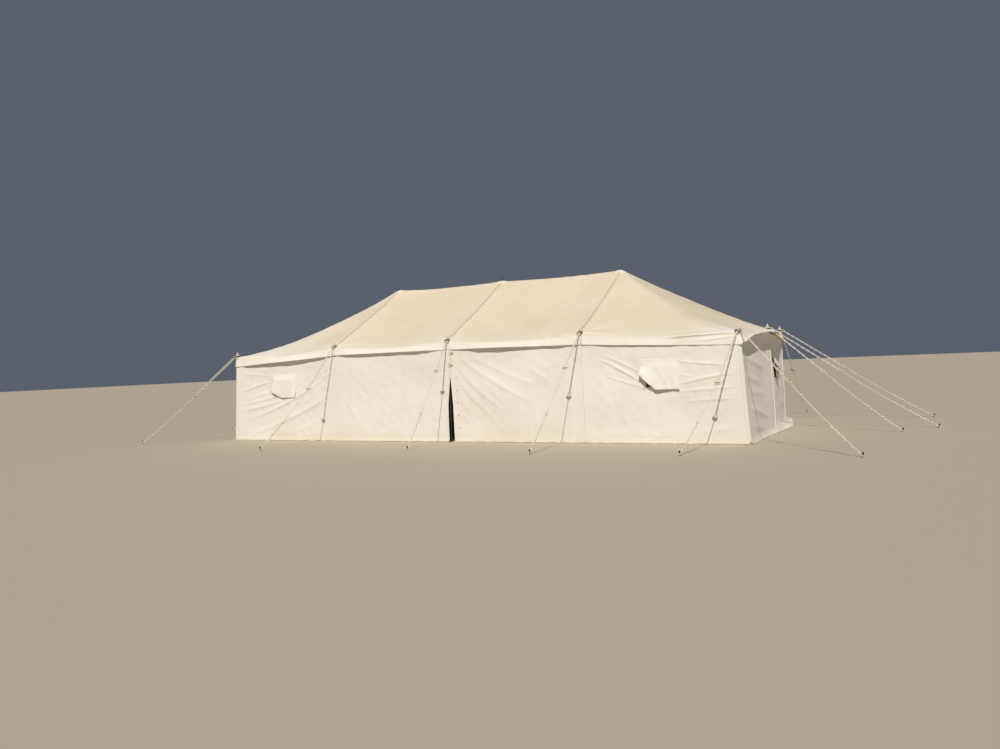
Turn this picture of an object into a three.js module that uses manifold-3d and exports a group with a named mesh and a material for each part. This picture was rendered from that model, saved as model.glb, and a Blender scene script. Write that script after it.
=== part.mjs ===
// Canvas pole marquee with a laced hip roof, three centre poles, side posts, walls and guy lines.
// Millimetres, +Z up, +X along the ridge, -Y towards the front, origin on the ground under the middle pole.
import * as THREE from "three";
import { mergeVertices } from "three/addons/utils/BufferGeometryUtils.js";
import Module from "manifold-3d";

const wasm = await Module();
wasm.setup();

// Plan of the tent.
const BAY = 3050;              // spacing of the side posts and of the centre poles
const HALF_WIDTH = 2780;       // from the ridge line to the side posts
const END_BOW = 110;           // how far the middle end post stands out past the corner posts
const HALF_LENGTH = 2 * BAY;

// Heights of the roof canvas above the ground at its supports.
const PEAK = 3660;
const FRONT_EAVE = [2070, 2180, 2180, 2180, 2050];
const BACK_EAVE = [2140, 2180, 2180, 2180, 2140];
const END_EAVE = 2130;

// Shape of the stretched canvas.
const CANVAS = 3;              // thickness of a sheet
const FIT = 0.3;               // running gap between neighbouring pieces
const EAVE_OUT = 32;           // the eave fold lies this far outside the post axes
const RIDGE_SAG = 35;
const EAVE_SAG = 90;
const SEAM_SAG = 45;           // dip of the slope along a laced seam
const BAY_SAG = 95;            // dip of the slope in the middle of a bay
const HIP_SAG = 140;           // dip of the long hip line
const TAUT_HIP_SAG = 50;       // dip of the right back hip, which is pulled tighter
const END_SAG = 100;           // dip of the line from the last peak to the middle end post
const VALANCE = 255;           // depth of the valance at a post
const VALANCE_MID = 165;       // depth of the valance between posts
const HEM_OUT = 35;            // the valance hem stands this far out at a post
const HEM_OUT_MID = 60;        // and this far between posts

// Posts, poles and walls.
const POST_RADIUS = 21;
const POLE_RADIUS = 32;
const SPIKE_RADIUS = 6;
const EYELET_RADIUS = 6.6;     // hole in the canvas around a spike
const WALL_SPLAY = 20;         // the wall foot stands this far outside its head
const CORNER_SPLAY = 120;      // the same along the ridge at the two front corners
const BACK_SPLAY = 30;         // and at the two back corners
const END_SPLAY = 70;          // and at the middle end posts
const WALL_FACE = POST_RADIUS + FIT + CANVAS;

// Rope and pegs.
const ROPE_RADIUS = 5;
const PEG_ROPE = 30;           // height of the rope where it goes round a peg

const CREAM = new THREE.Color("#e9dcc2");
const OFF_WHITE = new THREE.Color("#efe8d8");
const ROPE = new THREE.Color("#ddd3bf");
const STEEL = new THREE.Color("#9a9c9c");

const group = new THREE.Group();

function addPiece(name, geometry, color, roughness = 0.85, metalness = 0) {
  geometry.computeVertexNormals();
  const mesh = new THREE.Mesh(geometry, new THREE.MeshStandardMaterial({ color, roughness, metalness }));
  mesh.name = name;
  group.add(mesh);
}

function solidOf(geometry) {
  const plain = geometry.clone();
  plain.deleteAttribute("normal");
  plain.deleteAttribute("uv");
  const merged = mergeVertices(plain, 1e-4);
  return new wasm.Manifold(new wasm.Mesh({
    numProp: 3,
    vertProperties: new Float32Array(merged.attributes.position.array),
    triVerts: new Uint32Array(merged.index.array),
  }));
}

function geometryOf(solid) {
  const mesh = solid.getMesh();
  const geometry = new THREE.BufferGeometry();
  geometry.setAttribute("position", new THREE.BufferAttribute(new Float32Array(mesh.vertProperties), 3));
  geometry.setIndex(new THREE.BufferAttribute(new Uint32Array(mesh.triVerts), 1));
  return geometry;
}

function join(geometries) {
  let solid = solidOf(geometries[0]);
  for (const geometry of geometries.slice(1)) {
    solid = solid.add(solidOf(geometry));
  }
  return geometryOf(solid);
}

function cut(geometry, tools) {
  let solid = solidOf(geometry);
  for (const tool of tools) {
    solid = solid.subtract(solidOf(tool));
  }
  return geometryOf(solid);
}

const mix = (a, b, t) => a + (b - a) * t;
const dip = (t) => 4 * t * (1 - t);
const steps = (from, to, count) => Array.from({ length: count + 1 }, (_, i) => mix(from, to, i / count));

// A closed sheet. The surface function gives its outer face over the grid, and the inner face lies one
// thickness behind it, measured square to the faces that meet at each grid point. A seamed sheet ends in
// the plane of its seam at its first and last row, so that it butts against the next sheet.
function sheet(us, vs, surface, seamed = false, thickness = CANVAS) {
  const nu = us.length;
  const nv = vs.length;
  const outer = us.map((u) => vs.map((v) => surface(u, v)));
  const faceNormal = (i, j) => {
    const diagonalA = outer[i + 1][j + 1].clone().sub(outer[i][j]);
    const diagonalB = outer[i][j + 1].clone().sub(outer[i + 1][j]);
    return diagonalA.cross(diagonalB).normalize();
  };
  const normals = [];
  for (let i = 0; i < nu - 1; i += 1) {
    normals.push(vs.slice(1).map((_, j) => faceNormal(i, j)));
  }
  const positions = [];
  for (const row of outer) {
    for (const point of row) {
      positions.push(point.x, point.y, point.z);
    }
  }
  for (let i = 0; i < nu; i += 1) {
    for (let j = 0; j < nv; j += 1) {
      const around = [];
      for (const a of [i - 1, i]) {
        for (const b of [j - 1, j]) {
          if (a >= 0 && b >= 0 && a < nu - 1 && b < nv - 1) {
            around.push(normals[a][b]);
          }
        }
      }
      const normal = around.reduce((sum, n) => sum.add(n), new THREE.Vector3());
      if (seamed && (i === 0 || i === nu - 1)) {
        normal.x = 0;
      }
      normal.normalize();
      const square = around.reduce((sum, n) => sum + n.dot(normal), 0) / around.length;
      const inner = outer[i][j].clone().addScaledVector(normal, -thickness / Math.max(square, 0.6));
      positions.push(inner.x, inner.y, inner.z);
    }
  }
  const at = (i, j, side) => side * nu * nv + i * nv + j;
  const index = [];
  const quad = (a, b, c, d) => index.push(a, b, c, a, c, d);
  for (let i = 0; i < nu - 1; i += 1) {
    for (let j = 0; j < nv - 1; j += 1) {
      quad(at(i, j, 0), at(i + 1, j, 0), at(i + 1, j + 1, 0), at(i, j + 1, 0));
      quad(at(i, j, 1), at(i, j + 1, 1), at(i + 1, j + 1, 1), at(i + 1, j, 1));
    }
    quad(at(i, 0, 0), at(i, 0, 1), at(i + 1, 0, 1), at(i + 1, 0, 0));
    quad(at(i, nv - 1, 0), at(i + 1, nv - 1, 0), at(i + 1, nv - 1, 1), at(i, nv - 1, 1));
  }
  for (let j = 0; j < nv - 1; j += 1) {
    quad(at(0, j, 0), at(0, j + 1, 0), at(0, j + 1, 1), at(0, j, 1));
    quad(at(nu - 1, j, 0), at(nu - 1, j, 1), at(nu - 1, j + 1, 1), at(nu - 1, j + 1, 0));
  }
  const geometry = new THREE.BufferGeometry();
  geometry.setAttribute("position", new THREE.BufferAttribute(new Float32Array(positions), 3));
  geometry.setIndex(index);
  return geometry;
}

function rod(from, to, radius, sides = 8) {
  const along = to.clone().sub(from);
  const geometry = new THREE.CylinderGeometry(radius, radius, along.length(), sides);
  const turn = new THREE.Quaternion().setFromUnitVectors(new THREE.Vector3(0, 1, 0), along.normalize());
  geometry.applyQuaternion(turn);
  const middle = from.clone().add(to).multiplyScalar(0.5);
  geometry.translate(middle.x, middle.y, middle.z);
  return geometry;
}

function upright(x, y, zLow, zHigh, radius, sides = 12) {
  return rod(new THREE.Vector3(x, y, zLow), new THREE.Vector3(x, y, zHigh), radius, sides);
}

// Where every side post stands.
const posts = [];
for (let i = 0; i < 5; i += 1) {
  const x = (i - 2) * BAY;
  posts.push({ name: `front_post_${i + 1}`, x, y: -HALF_WIDTH, eave: FRONT_EAVE[i] });
  posts.push({ name: `back_post_${i + 1}`, x, y: HALF_WIDTH, eave: BACK_EAVE[i] });
}
posts.push({ name: "left_end_post", x: -HALF_LENGTH - END_BOW, y: 0, eave: END_EAVE });
posts.push({ name: "right_end_post", x: HALF_LENGTH + END_BOW, y: 0, eave: END_EAVE });
const postNamed = (name) => posts.find((post) => post.name === name);

// Roof over one bay between two peaks: v runs from the front hem over the ridge to the back hem.
function bayRoof(first) {
  const x0 = (first - 2) * BAY + FIT / 2;
  const span = BAY - FIT;
  const slope = [0, 0.03, 0.14, 0.3, 0.48, 0.66, 0.84, 0.97, 1];
  const down = [1.35, 1.7, 2];
  const half = [...slope.slice(1), ...down];
  const vs = [...half.map((v) => -v).reverse(), 0, ...half];
  return sheet(steps(0, 1, 8), vs, (u, v) => {
    const side = Math.sign(v) || 1;
    const eaves = side < 0 ? FRONT_EAVE : BACK_EAVE;
    const s = Math.min(Math.abs(v), 1);
    const ridge = PEAK - RIDGE_SAG * dip(u);
    const atPost = mix(eaves[first], eaves[first + 1], u);
    const eave = atPost - EAVE_SAG * dip(u);
    const reach = HALF_WIDTH + EAVE_OUT;
    const slack = mix(SEAM_SAG, BAY_SAG, dip(u)) * dip(s);
    const fall = Math.max(Math.abs(v) - 1, 0);
    const depth = mix(VALANCE, VALANCE_MID, dip(u));
    const y = side * (reach * s + fall * mix(HEM_OUT, HEM_OUT_MID, dip(u)));
    return new THREE.Vector3(x0 + span * u, y, mix(ridge, eave, s) - slack - fall * depth);
  }, true);
}

// Roof over one end: it fans out from the last peak over both corners and the middle end post.
function endRoof(side) {
  const front = side < 0 ? FRONT_EAVE[0] : FRONT_EAVE[4];
  const back = side < 0 ? BACK_EAVE[0] : BACK_EAVE[4];
  const peakX = side * (BAY + FIT / 2);
  const outX = side * (HALF_LENGTH + EAVE_OUT);
  const midX = side * (HALF_LENGTH + END_BOW + EAVE_OUT);
  const outY = HALF_WIDTH + EAVE_OUT;
  const corners = [
    new THREE.Vector3(peakX, -outY, FRONT_EAVE[2]),
    new THREE.Vector3(outX, -outY, front),
    new THREE.Vector3(midX, 0, END_EAVE),
    new THREE.Vector3(outX, outY, back),
    new THREE.Vector3(peakX, outY, BACK_EAVE[2]),
  ];
  const backHip = side < 0 ? HIP_SAG : TAUT_HIP_SAG;
  const slackAt = [SEAM_SAG, HIP_SAG, END_SAG, backHip, SEAM_SAG];
  const outwards = [
    new THREE.Vector3(0, -1, 0),
    new THREE.Vector3(side * 0.7, -0.7, 0),
    new THREE.Vector3(side, 0, 0),
    new THREE.Vector3(side * 0.7, 0.7, 0),
    new THREE.Vector3(0, 1, 0),
  ];
  const atSeam = Math.asin(HEM_OUT / VALANCE);
  const liftAt = side < 0 ? [atSeam, 0.1, 0.5, 0.3, atSeam] : [atSeam, 0.2, 0.97, 0.3, atSeam];
  const blown = side < 0 ? [0, 0.2, 0.1, 0] : [0, 1.05, 0.25, 0];
  const around = [];
  for (let k = 0; k < 4; k += 1) {
    around.push(...[0, 0.16, 0.38, 0.62, 0.84].map((t) => k + t));
  }
  around.push(4);
  const us = side > 0 ? around : around.map((u) => 4 - u);
  const vs = [0, 0.06, 0.18, 0.34, 0.5, 0.66, 0.82, 0.95, 1, 1.35, 1.7, 2];
  return sheet(us, vs, (u, v) => {
    const k = Math.min(Math.floor(u), 3);
    const t = u - k;
    const ease = t * t * (3 - 2 * t);
    const edge = corners[k].clone().lerp(corners[k + 1], t);
    edge.z -= EAVE_SAG * dip(t);
    const normal = outwards[k].clone().lerp(outwards[k + 1], ease).normalize();
    const s = Math.min(v, 1);
    const start = new THREE.Vector3(peakX, 0, PEAK);
    const point = start.lerp(edge, s);
    if (v === 0) {
      const fan = edge.clone().sub(new THREE.Vector3(peakX, 0, edge.z)).normalize();
      point.addScaledVector(fan, 3);
    }
    point.z -= mix(slackAt[k], slackAt[k + 1], ease) * dip(s);
    const fall = Math.max(v - 1, 0);
    if (fall > 0) {
      const lift = mix(liftAt[k], liftAt[k + 1], ease) + blown[k] * dip(t);
      const middle = k === 0 || k === 3 ? VALANCE_MID : 190;
      const depth = mix(VALANCE, middle, dip(t)) * (1 - 0.22 * Math.max(lift - 0.35, 0));
      point.addScaledVector(normal, depth * fall * Math.sin(lift));
      point.z -= depth * fall * Math.cos(lift);
    }
    return point;
  }, true);
}

// Every spike goes up through the canvas in an eyelet that clears it.
const spikeHoles = [];
for (const post of posts) {
  spikeHoles.push(upright(post.x, post.y, post.eave - 120, post.eave + 200, EYELET_RADIUS));
}
for (let i = 1; i < 4; i += 1) {
  spikeHoles.push(upright((i - 2) * BAY, 0, PEAK - 150, PEAK + 200, EYELET_RADIUS));
}
const near = (hole, geometry) => {
  hole.computeBoundingBox();
  geometry.computeBoundingBox();
  return hole.boundingBox.intersectsBox(geometry.boundingBox);
};
const roofs = {
  roof_left_end: endRoof(-1),
  roof_left_bay: bayRoof(1),
  roof_right_bay: bayRoof(2),
  roof_right_end: endRoof(1),
};
for (const [name, geometry] of Object.entries(roofs)) {
  roofs[name] = cut(geometry, spikeHoles.filter((hole) => near(hole, geometry)));
  addPiece(name, roofs[name], CREAM);
}

// Height of the canvas underside around an upright, taken from the finished roof.
const roofMeshes = Object.values(roofs).map((geometry) => {
  const mesh = new THREE.Mesh(geometry, new THREE.MeshBasicMaterial({ side: THREE.DoubleSide }));
  mesh.updateMatrixWorld();
  return mesh;
});
function undersideAt(x, y, radius) {
  let low = Infinity;
  for (let k = 0; k < 48; k += 1) {
    const angle = (k * Math.PI) / 24 + 0.001;
    for (const r of [radius, radius * 0.85, radius * 0.72]) {
      const from = new THREE.Vector3(x + r * Math.cos(angle), y + r * Math.sin(angle), 1500);
      const hits = new THREE.Raycaster(from, new THREE.Vector3(0, 0, 1)).intersectObjects(roofMeshes);
      if (hits.length > 0) {
        low = Math.min(low, hits[0].point.z);
      }
    }
  }
  return low;
}

// A round upright turned about its axis: foot plate, tube, neck, spike and a round finial.
function turned(x, y, profile, sides = 12) {
  const geometry = new THREE.LatheGeometry(profile.map(([r, z]) => new THREE.Vector2(r, z)), sides);
  geometry.rotateX(Math.PI / 2);
  geometry.translate(x, y, 0);
  return geometry;
}

const SHOULDER = 10;
for (const post of posts) {
  const seat = undersideAt(post.x, post.y, SHOULDER) - FIT;
  addPiece(post.name, turned(post.x, post.y, [
    [0, 0],
    [34, 0],
    [34, 6],
    [POST_RADIUS, 6],
    [POST_RADIUS, seat - 34],
    [SHOULDER, seat],
    [SPIKE_RADIUS, seat],
    [SPIKE_RADIUS, seat + 78],
    [14, seat + 84],
    [14, seat + 100],
    [0, seat + 108],
  ]), STEEL, 0.5, 0.6);
}

for (let i = 1; i < 4; i += 1) {
  const x = (i - 2) * BAY;
  const seat = undersideAt(x, 0, 16) - FIT;
  addPiece(`centre_pole_${i}`, turned(x, 0, [
    [0, 0],
    [75, 0],
    [75, 8],
    [POLE_RADIUS, 8],
    [POLE_RADIUS, seat - 60],
    [16, seat],
    [SPIKE_RADIUS, seat],
    [SPIKE_RADIUS, seat + 105],
    [0, seat + 112],
  ]), STEEL, 0.5, 0.6);
}

// Walls: each hangs from under the eave to the ground, and its foot turns out as a skirt.
const SKIRT = 55;
const END_SKIRT = 230;
const HEAD_DROP = 45;                       // the wall hooks on this far below the eave at a post
const HEAD_DROP_MID = 60;                   // and this far between posts, hidden by the valance
const DOOR_X = 35;                          // where the two front curtains meet
const DOOR_OPEN = 115;                      // width of the doorway slit at the ground
const DOOR_TIE = 1390;                      // the slit is laced shut above this height

// A wall hangs straight past the post tops and leans out from there, by 1 at the ground.
const STRAIGHT = 1900;
const lean = (z) => Math.max(0, 1 - (z - CANVAS) / (STRAIGHT - CANVAS));

function headHeight(x, eaves = FRONT_EAVE) {
  const at = Math.min(Math.max(x / BAY + 2, 0), 3.999);
  const bay = Math.floor(at);
  const t = at - bay;
  const eave = mix(eaves[bay], eaves[bay + 1], t) - EAVE_SAG * dip(t);
  return eave - mix(HEAD_DROP, HEAD_DROP_MID, dip(t));
}

function sideWall(side, half) {
  const doorSide = half < 0 ? DOOR_X - FIT / 2 : DOOR_X + FIT / 2;
  const cornerX = half * (HALF_LENGTH + WALL_FACE);
  const slit = (z) => (half > 0 ? DOOR_OPEN * Math.max(0, 1 - z / DOOR_TIE) : 0);
  const us = [0, 0.08, 0.18, 0.28, 0.38, 0.48, 0.52, 0.64, 0.76, 0.88, 1];
  const vs = [0, 0.12, 0.33, 0.6, 0.85, 1, 2];
  const outline = (u, v) => {
    const down = Math.min(v, 1);
    const headX = mix(doorSide, cornerX, u);
    const z = mix(headHeight(headX, side < 0 ? FRONT_EAVE : BACK_EAVE), CANVAS, down);
    const cornerFoot = half * (side < 0 ? CORNER_SPLAY : BACK_SPLAY) * lean(z);
    const x = mix(doorSide + slit(z), cornerX + cornerFoot, u);
    const y = HALF_WIDTH + WALL_FACE + WALL_SPLAY * lean(z) + (v > 1 ? SKIRT : 0);
    return new THREE.Vector3(x, side * y, z);
  };
  const ordered = half * side < 0 ? us : [...us].reverse();
  return sheet(ordered, vs.slice().reverse(), outline);
}

function endWall(side) {
  const us = [-1, -0.85, -0.62, -0.38, -0.16, 0, 0.16, 0.38, 0.62, 0.85, 1];
  const vs = [0, 0.15, 0.4, 0.7, 1, 2];
  const face = (u, v) => {
    const down = Math.min(v, 1);
    const t = 1 - Math.abs(u);
    const corner = u < 0 ? (side < 0 ? FRONT_EAVE[0] : FRONT_EAVE[4]) : BACK_EAVE[0];
    const head = mix(corner, END_EAVE, t) - HEAD_DROP - EAVE_SAG * dip(t);
    const z = mix(head, CANVAS, down);
    const halfY = HALF_WIDTH + WALL_FACE + WALL_SPLAY * lean(z) - CANVAS - 2 * FIT;
    const bow = (END_BOW + 2) * t;
    const foot = mix(u < 0 ? CORNER_SPLAY : BACK_SPLAY, END_SPLAY, t) * lean(z);
    const x = HALF_LENGTH + WALL_FACE + bow + foot + (v > 1 ? END_SKIRT : 0);
    return new THREE.Vector3(side * x, halfY * u, z);
  };
  const ordered = side > 0 ? us : [...us].reverse();
  return sheet(ordered, vs.slice().reverse(), face);
}

// Windows: a hole through the wall, and a canvas flap sewn on above it.
const WINDOW = { width: 560, height: 450, z: 1300 };
const WINDOW_X = 4630;
const END_WINDOW_Y = 950;

function windowHole(x, y, along) {
  const size = along === "x" ? [WINDOW.width, 700, WINDOW.height] : [700, WINDOW.width, WINDOW.height];
  const box = new THREE.BoxGeometry(...size);
  box.translate(x, y, WINDOW.z);
  return box;
}

for (const [side, place] of [[-1, "front"], [1, "back"]]) {
  for (const [half, hand] of [[-1, "left"], [1, "right"]]) {
    const y = side * (HALF_WIDTH + WALL_FACE);
    const wall = cut(sideWall(side, half), [windowHole(half * WINDOW_X, y, "x")]);
    addPiece(`${place}_wall_${hand}`, wall, OFF_WHITE);
  }
}
for (const [side, hand] of [[-1, "left"], [1, "right"]]) {
  const x = side * (HALF_LENGTH + WALL_FACE + 100);
  const wall = cut(endWall(side), [windowHole(x, END_WINDOW_Y, "y")]);
  addPiece(`${hand}_end_wall`, wall, OFF_WHITE);
}

// Flap on a side wall: it hangs from its top seam, bulges, and its lower left corner curls out.
function sideFlap(side, half) {
  const width = 750;
  const drop = 580;
  const top = 1610;
  const surface = (u, v) => {
    const x = half * WINDOW_X + (u - 0.5) * width;
    const z = top - v * drop + 60 * v * (1 - u) * (1 - u);
    const wallY = HALF_WIDTH + WALL_FACE + WALL_SPLAY * lean(z);
    const curl = 95 * Math.pow(v, 3) * Math.pow(1 - u, 3);
    const bulge = 34 * Math.sin(Math.PI * 0.85 * v) * (0.4 + 0.6 * Math.sin(Math.PI * u));
    return new THREE.Vector3(x, side * (wallY + CANVAS + FIT + 0.6 + bulge + curl), z);
  };
  const us = steps(0, 1, 6);
  const vs = [1, 0.86, 0.7, 0.5, 0.3, 0.14, 0];
  return sheet(side < 0 ? us : us.reverse(), vs, surface);
}

// Flap on an end wall: it hangs half open, with its lower front corner turned out.
function endFlap(side) {
  const width = 660;
  const drop = 600;
  const top = 1590;
  const surface = (u, v) => {
    const y = END_WINDOW_Y + (u - 0.5) * width + 150 * v * (1 - u);
    const z = top - v * drop;
    const t = 1 - y / HALF_WIDTH;
    const foot = mix(BACK_SPLAY, END_SPLAY, t) * lean(z);
    const wallX = HALF_LENGTH + WALL_FACE + (END_BOW + 2) * t + foot;
    const bulge = 60 * v * (1.15 - u);
    return new THREE.Vector3(side * (wallX + CANVAS + FIT + 0.9 + bulge), y, z);
  };
  const us = steps(0, 1, 5);
  const vs = [1, 0.8, 0.55, 0.3, 0.1, 0];
  return sheet(side > 0 ? us : us.reverse(), vs, surface);
}

for (const [side, place] of [[-1, "front"], [1, "back"]]) {
  for (const [half, hand] of [[-1, "left"], [1, "right"]]) {
    addPiece(`${place}_window_flap_${hand}`, sideFlap(side, half), OFF_WHITE);
  }
}
addPiece("left_end_window_flap", endFlap(-1), OFF_WHITE);
addPiece("right_end_window_flap", endFlap(1), OFF_WHITE);

// A run of points that a rope follows, one step to each point.
class RopePath extends THREE.Curve {
  constructor(points) {
    super();
    this.points = points;
  }

  getPoint(t, target = new THREE.Vector3()) {
    const at = Math.min(t * (this.points.length - 1), this.points.length - 1.000001);
    const i = Math.floor(at);
    return target.copy(this.points[i]).lerp(this.points[i + 1], at - i);
  }

  getPointAt(t, target) {
    return this.getPoint(t, target);
  }

  getTangentAt(t) {
    const last = this.points.length - 1;
    const i = Math.round(t * last);
    const before = this.points[Math.max(i - 1, 0)];
    const after = this.points[Math.min(i + 1, last)];
    const here = this.points[i];
    const into = i > 0 ? here.clone().sub(before).normalize() : new THREE.Vector3();
    const away = i < last ? after.clone().sub(here).normalize() : new THREE.Vector3();
    return into.add(away).normalize();
  }
}

function ropeAlong(points, radius = ROPE_RADIUS) {
  const corners = [];
  for (let k = 0; k < 6; k += 1) {
    const angle = (k * Math.PI) / 3;
    corners.push(new THREE.Vector2(radius * Math.cos(angle), radius * Math.sin(angle)));
  }
  const path = new RopePath(points);
  return new THREE.ExtrudeGeometry(new THREE.Shape(corners), { steps: points.length - 1, extrudePath: path });
}

// Guy lines: a double rope looped round the spike down to a wooden runner, then one rope to an iron peg.
// The runner sits that far along the line and hangs below it by the sag.
function guyLine(post, pegX, pegY, lift, along, sag) {
  const ring = new THREE.Vector3(post.x, post.y, post.eave + 50 + lift);
  const peg = new THREE.Vector3(pegX, pegY, PEG_ROPE);
  const out = new THREE.Vector3(pegX - post.x, pegY - post.y, 0).normalize();
  const across = new THREE.Vector3(-out.y, out.x, 0);
  const place = (origin, sideways, outwards) => {
    return origin.clone().addScaledVector(across, sideways).addScaledVector(out, outwards);
  };
  const edge = place(ring, 0, 64);
  edge.z -= 12;
  const runner = edge.clone().lerp(peg, along);
  runner.z -= sag;
  const loop = SPIKE_RADIUS + 2 * FIT + ROPE_RADIUS + 0.05;
  const points = [place(runner, 26, 0), place(edge, 13, 0)];
  for (const angle of [0, 30, 60, 90, 120, 150, 180]) {
    const a = (angle * Math.PI) / 180;
    points.push(place(ring, loop * Math.cos(a), -loop * Math.sin(a)));
  }
  points.push(place(edge, -13, 0), place(runner, -26, 0));
  const pieces = [ropeAlong(points)];
  pieces.push(rod(place(runner, -58, 0), place(runner, 58, 0), 13, 6));
  pieces.push(rod(runner, peg, ROPE_RADIUS, 5));
  const pegTop = place(peg, 0, 15);
  pegTop.z = 78;
  const pegFoot = place(peg, 0, -20);
  pegFoot.z = -35;
  pieces.push(rod(pegFoot, pegTop, 13, 6));
  const ground = new THREE.BoxGeometry(600, 600, 200);
  ground.translate(pegX, pegY, -100);
  return cut(join(pieces), [ground]);
}

const guys = [
  ["front_guy_2", "front_post_2", -3480, -4880, 0.365, 150],
  ["front_guy_3", "front_post_3", -90, -4380, 0.285, 30],
  ["front_guy_4", "front_post_4", 2730, -4700, 0.31, 10],
  ["front_guy_5", "front_post_5", 5410, -4600, 0.37, 160],
  ["front_left_corner_guy", "front_post_1", -8240, -3950],
  ["front_right_corner_guy", "front_post_5", 8150, -4480],
  ["back_guy_1", "back_post_1", -6430, 5060],
  ["back_guy_2", "back_post_2", -3770, 4580],
  ["back_guy_3", "back_post_3", -90, 4380],
  ["back_guy_4", "back_post_4", 2730, 4700],
  ["back_guy_5", "back_post_5", 6430, 5060],
  ["back_left_corner_guy", "back_post_1", -9350, 3100],
  ["back_right_corner_guy", "back_post_5", 9350, 3100],
  ["left_end_guy_1", "left_end_post", -8700, -500],
  ["left_end_guy_2", "left_end_post", -9350, 450],
  ["right_end_guy_1", "right_end_post", 8700, -500],
  ["right_end_guy_2", "right_end_post", 9350, 450],
];
const used = {};
for (const [name, postName, pegX, pegY, along = 0.44, sag = 40] of guys) {
  const lift = used[postName] ? 14 : 0;
  used[postName] = true;
  addPiece(name, guyLine(postNamed(postName), pegX, pegY, lift, along, sag), ROPE);
}

export default group;
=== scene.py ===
# %% [markdown]
# # A canvas pole marquee
# The tent is a hip roof of stretched canvas on three centre poles, laced together in four sections.
# Side posts carry its eaves, canvas walls hang below, and rope guys pull every post outwards.
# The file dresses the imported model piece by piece: each cloth is a fine grid with its sag, folds and
# hems as real geometry, and Geometry Nodes lay the ropes, lacing, eyelets, stitches and window nets.

import math
from collections import namedtuple
from functools import partial

import bmesh
import bpy
import numpy as np
from mathutils import Matrix, Vector
from mathutils.bvhtree import BVHTree


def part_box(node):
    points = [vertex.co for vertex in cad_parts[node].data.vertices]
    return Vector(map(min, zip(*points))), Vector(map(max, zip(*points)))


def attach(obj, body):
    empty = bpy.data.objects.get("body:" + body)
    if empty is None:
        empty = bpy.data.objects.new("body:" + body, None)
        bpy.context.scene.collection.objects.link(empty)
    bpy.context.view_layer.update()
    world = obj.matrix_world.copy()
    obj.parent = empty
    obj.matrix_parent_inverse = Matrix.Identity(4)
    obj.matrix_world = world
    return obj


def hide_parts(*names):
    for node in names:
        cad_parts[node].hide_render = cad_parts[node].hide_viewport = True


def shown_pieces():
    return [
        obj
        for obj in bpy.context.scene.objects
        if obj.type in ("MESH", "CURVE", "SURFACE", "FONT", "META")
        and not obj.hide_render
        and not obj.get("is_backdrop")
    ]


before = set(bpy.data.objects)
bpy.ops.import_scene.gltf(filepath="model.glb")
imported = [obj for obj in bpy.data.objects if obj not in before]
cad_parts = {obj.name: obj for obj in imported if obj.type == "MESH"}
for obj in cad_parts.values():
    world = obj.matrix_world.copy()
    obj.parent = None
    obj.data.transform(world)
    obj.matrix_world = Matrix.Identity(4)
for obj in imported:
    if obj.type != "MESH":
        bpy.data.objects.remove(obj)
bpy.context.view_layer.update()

# %% [markdown]
# ## Camera
# The photograph was taken standing, a little below the eaves, from in front of the right-hand corner.
# The place and the angles were solved from the posts and peaks, whose sizes are known, so the camera
# is set from three angles and a focal length in pixels of the 1000 pixel wide picture.

# %% Place the camera
PICTURE_WIDTH = 1000
FOCAL_PIXELS = 795.0
SENSOR_MM = 36
EYE = Vector((8.706, -17.611, 1.649))
YAW, PITCH, ROLL = (math.radians(angle) for angle in (26.761, 0.822, 2.375))


def new_object(name, data):
    """A new object in the scene, with that data."""
    made = bpy.data.objects.new(name, data)
    bpy.context.scene.collection.objects.link(made)
    return made


def camera_turn(yaw, pitch, roll):
    """The camera's matrix: yaw to the left of +Y, pitch below the horizon, roll clockwise."""
    flat_right = Vector((math.cos(yaw), math.sin(yaw), 0))
    look = Vector((-math.sin(yaw) * math.cos(pitch), math.cos(yaw) * math.cos(pitch), -math.sin(pitch)))
    flat_up = flat_right.cross(look)
    right = flat_right * math.cos(roll) - flat_up * math.sin(roll)
    up = flat_right * math.sin(roll) + flat_up * math.cos(roll)
    return Matrix((right, up, -look)).transposed().to_4x4()


camera = new_object("camera", bpy.data.cameras.new("camera"))
camera.data.lens = FOCAL_PIXELS / PICTURE_WIDTH * SENSOR_MM
camera.data.clip_end = 400
camera.matrix_world = Matrix.Translation(EYE) @ camera_turn(YAW, PITCH, ROLL)
bpy.context.scene.camera = camera
print("lens", round(camera.data.lens, 2), "mm")

# %% [markdown]
# ## Helpers for colours, nodes and meshes
# Colours are written as the sRGB hex values that one would pick from a swatch, and one function turns
# them to the linear values that shaders need. Small functions add a node with its settings and links,
# and return its result, so that a material or a Geometry Nodes tree reads as a short list of steps.


# %% Colour, node and mesh helpers
def linear(code):
    """An sRGB hex colour as linear red, green, blue and alpha."""
    values = [int(code[i : i + 2], 16) / 255 for i in (1, 3, 5)]
    return (*[v / 12.92 if v <= 0.04045 else ((v + 0.055) / 1.055) ** 2.4 for v in values], 1)


def feed(tree, node, inputs):
    """Links each input that is given as a socket, and sets any other."""
    for key, value in inputs.items():
        if isinstance(value, bpy.types.NodeSocket):
            tree.links.new(value, node.inputs[key])
        else:
            node.inputs[key].default_value = value


def add(tree, kind, inputs=None, **settings):
    """A new node with its settings and inputs."""
    node = tree.nodes.new(kind)
    for name, value in settings.items():
        setattr(node, name, value)
    feed(tree, node, inputs or {})
    return node


def calc(tree, operation, one, other):
    """The result of a Math node."""
    return add(tree, "ShaderNodeMath", {0: one, 1: other}, operation=operation).outputs[0]


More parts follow.
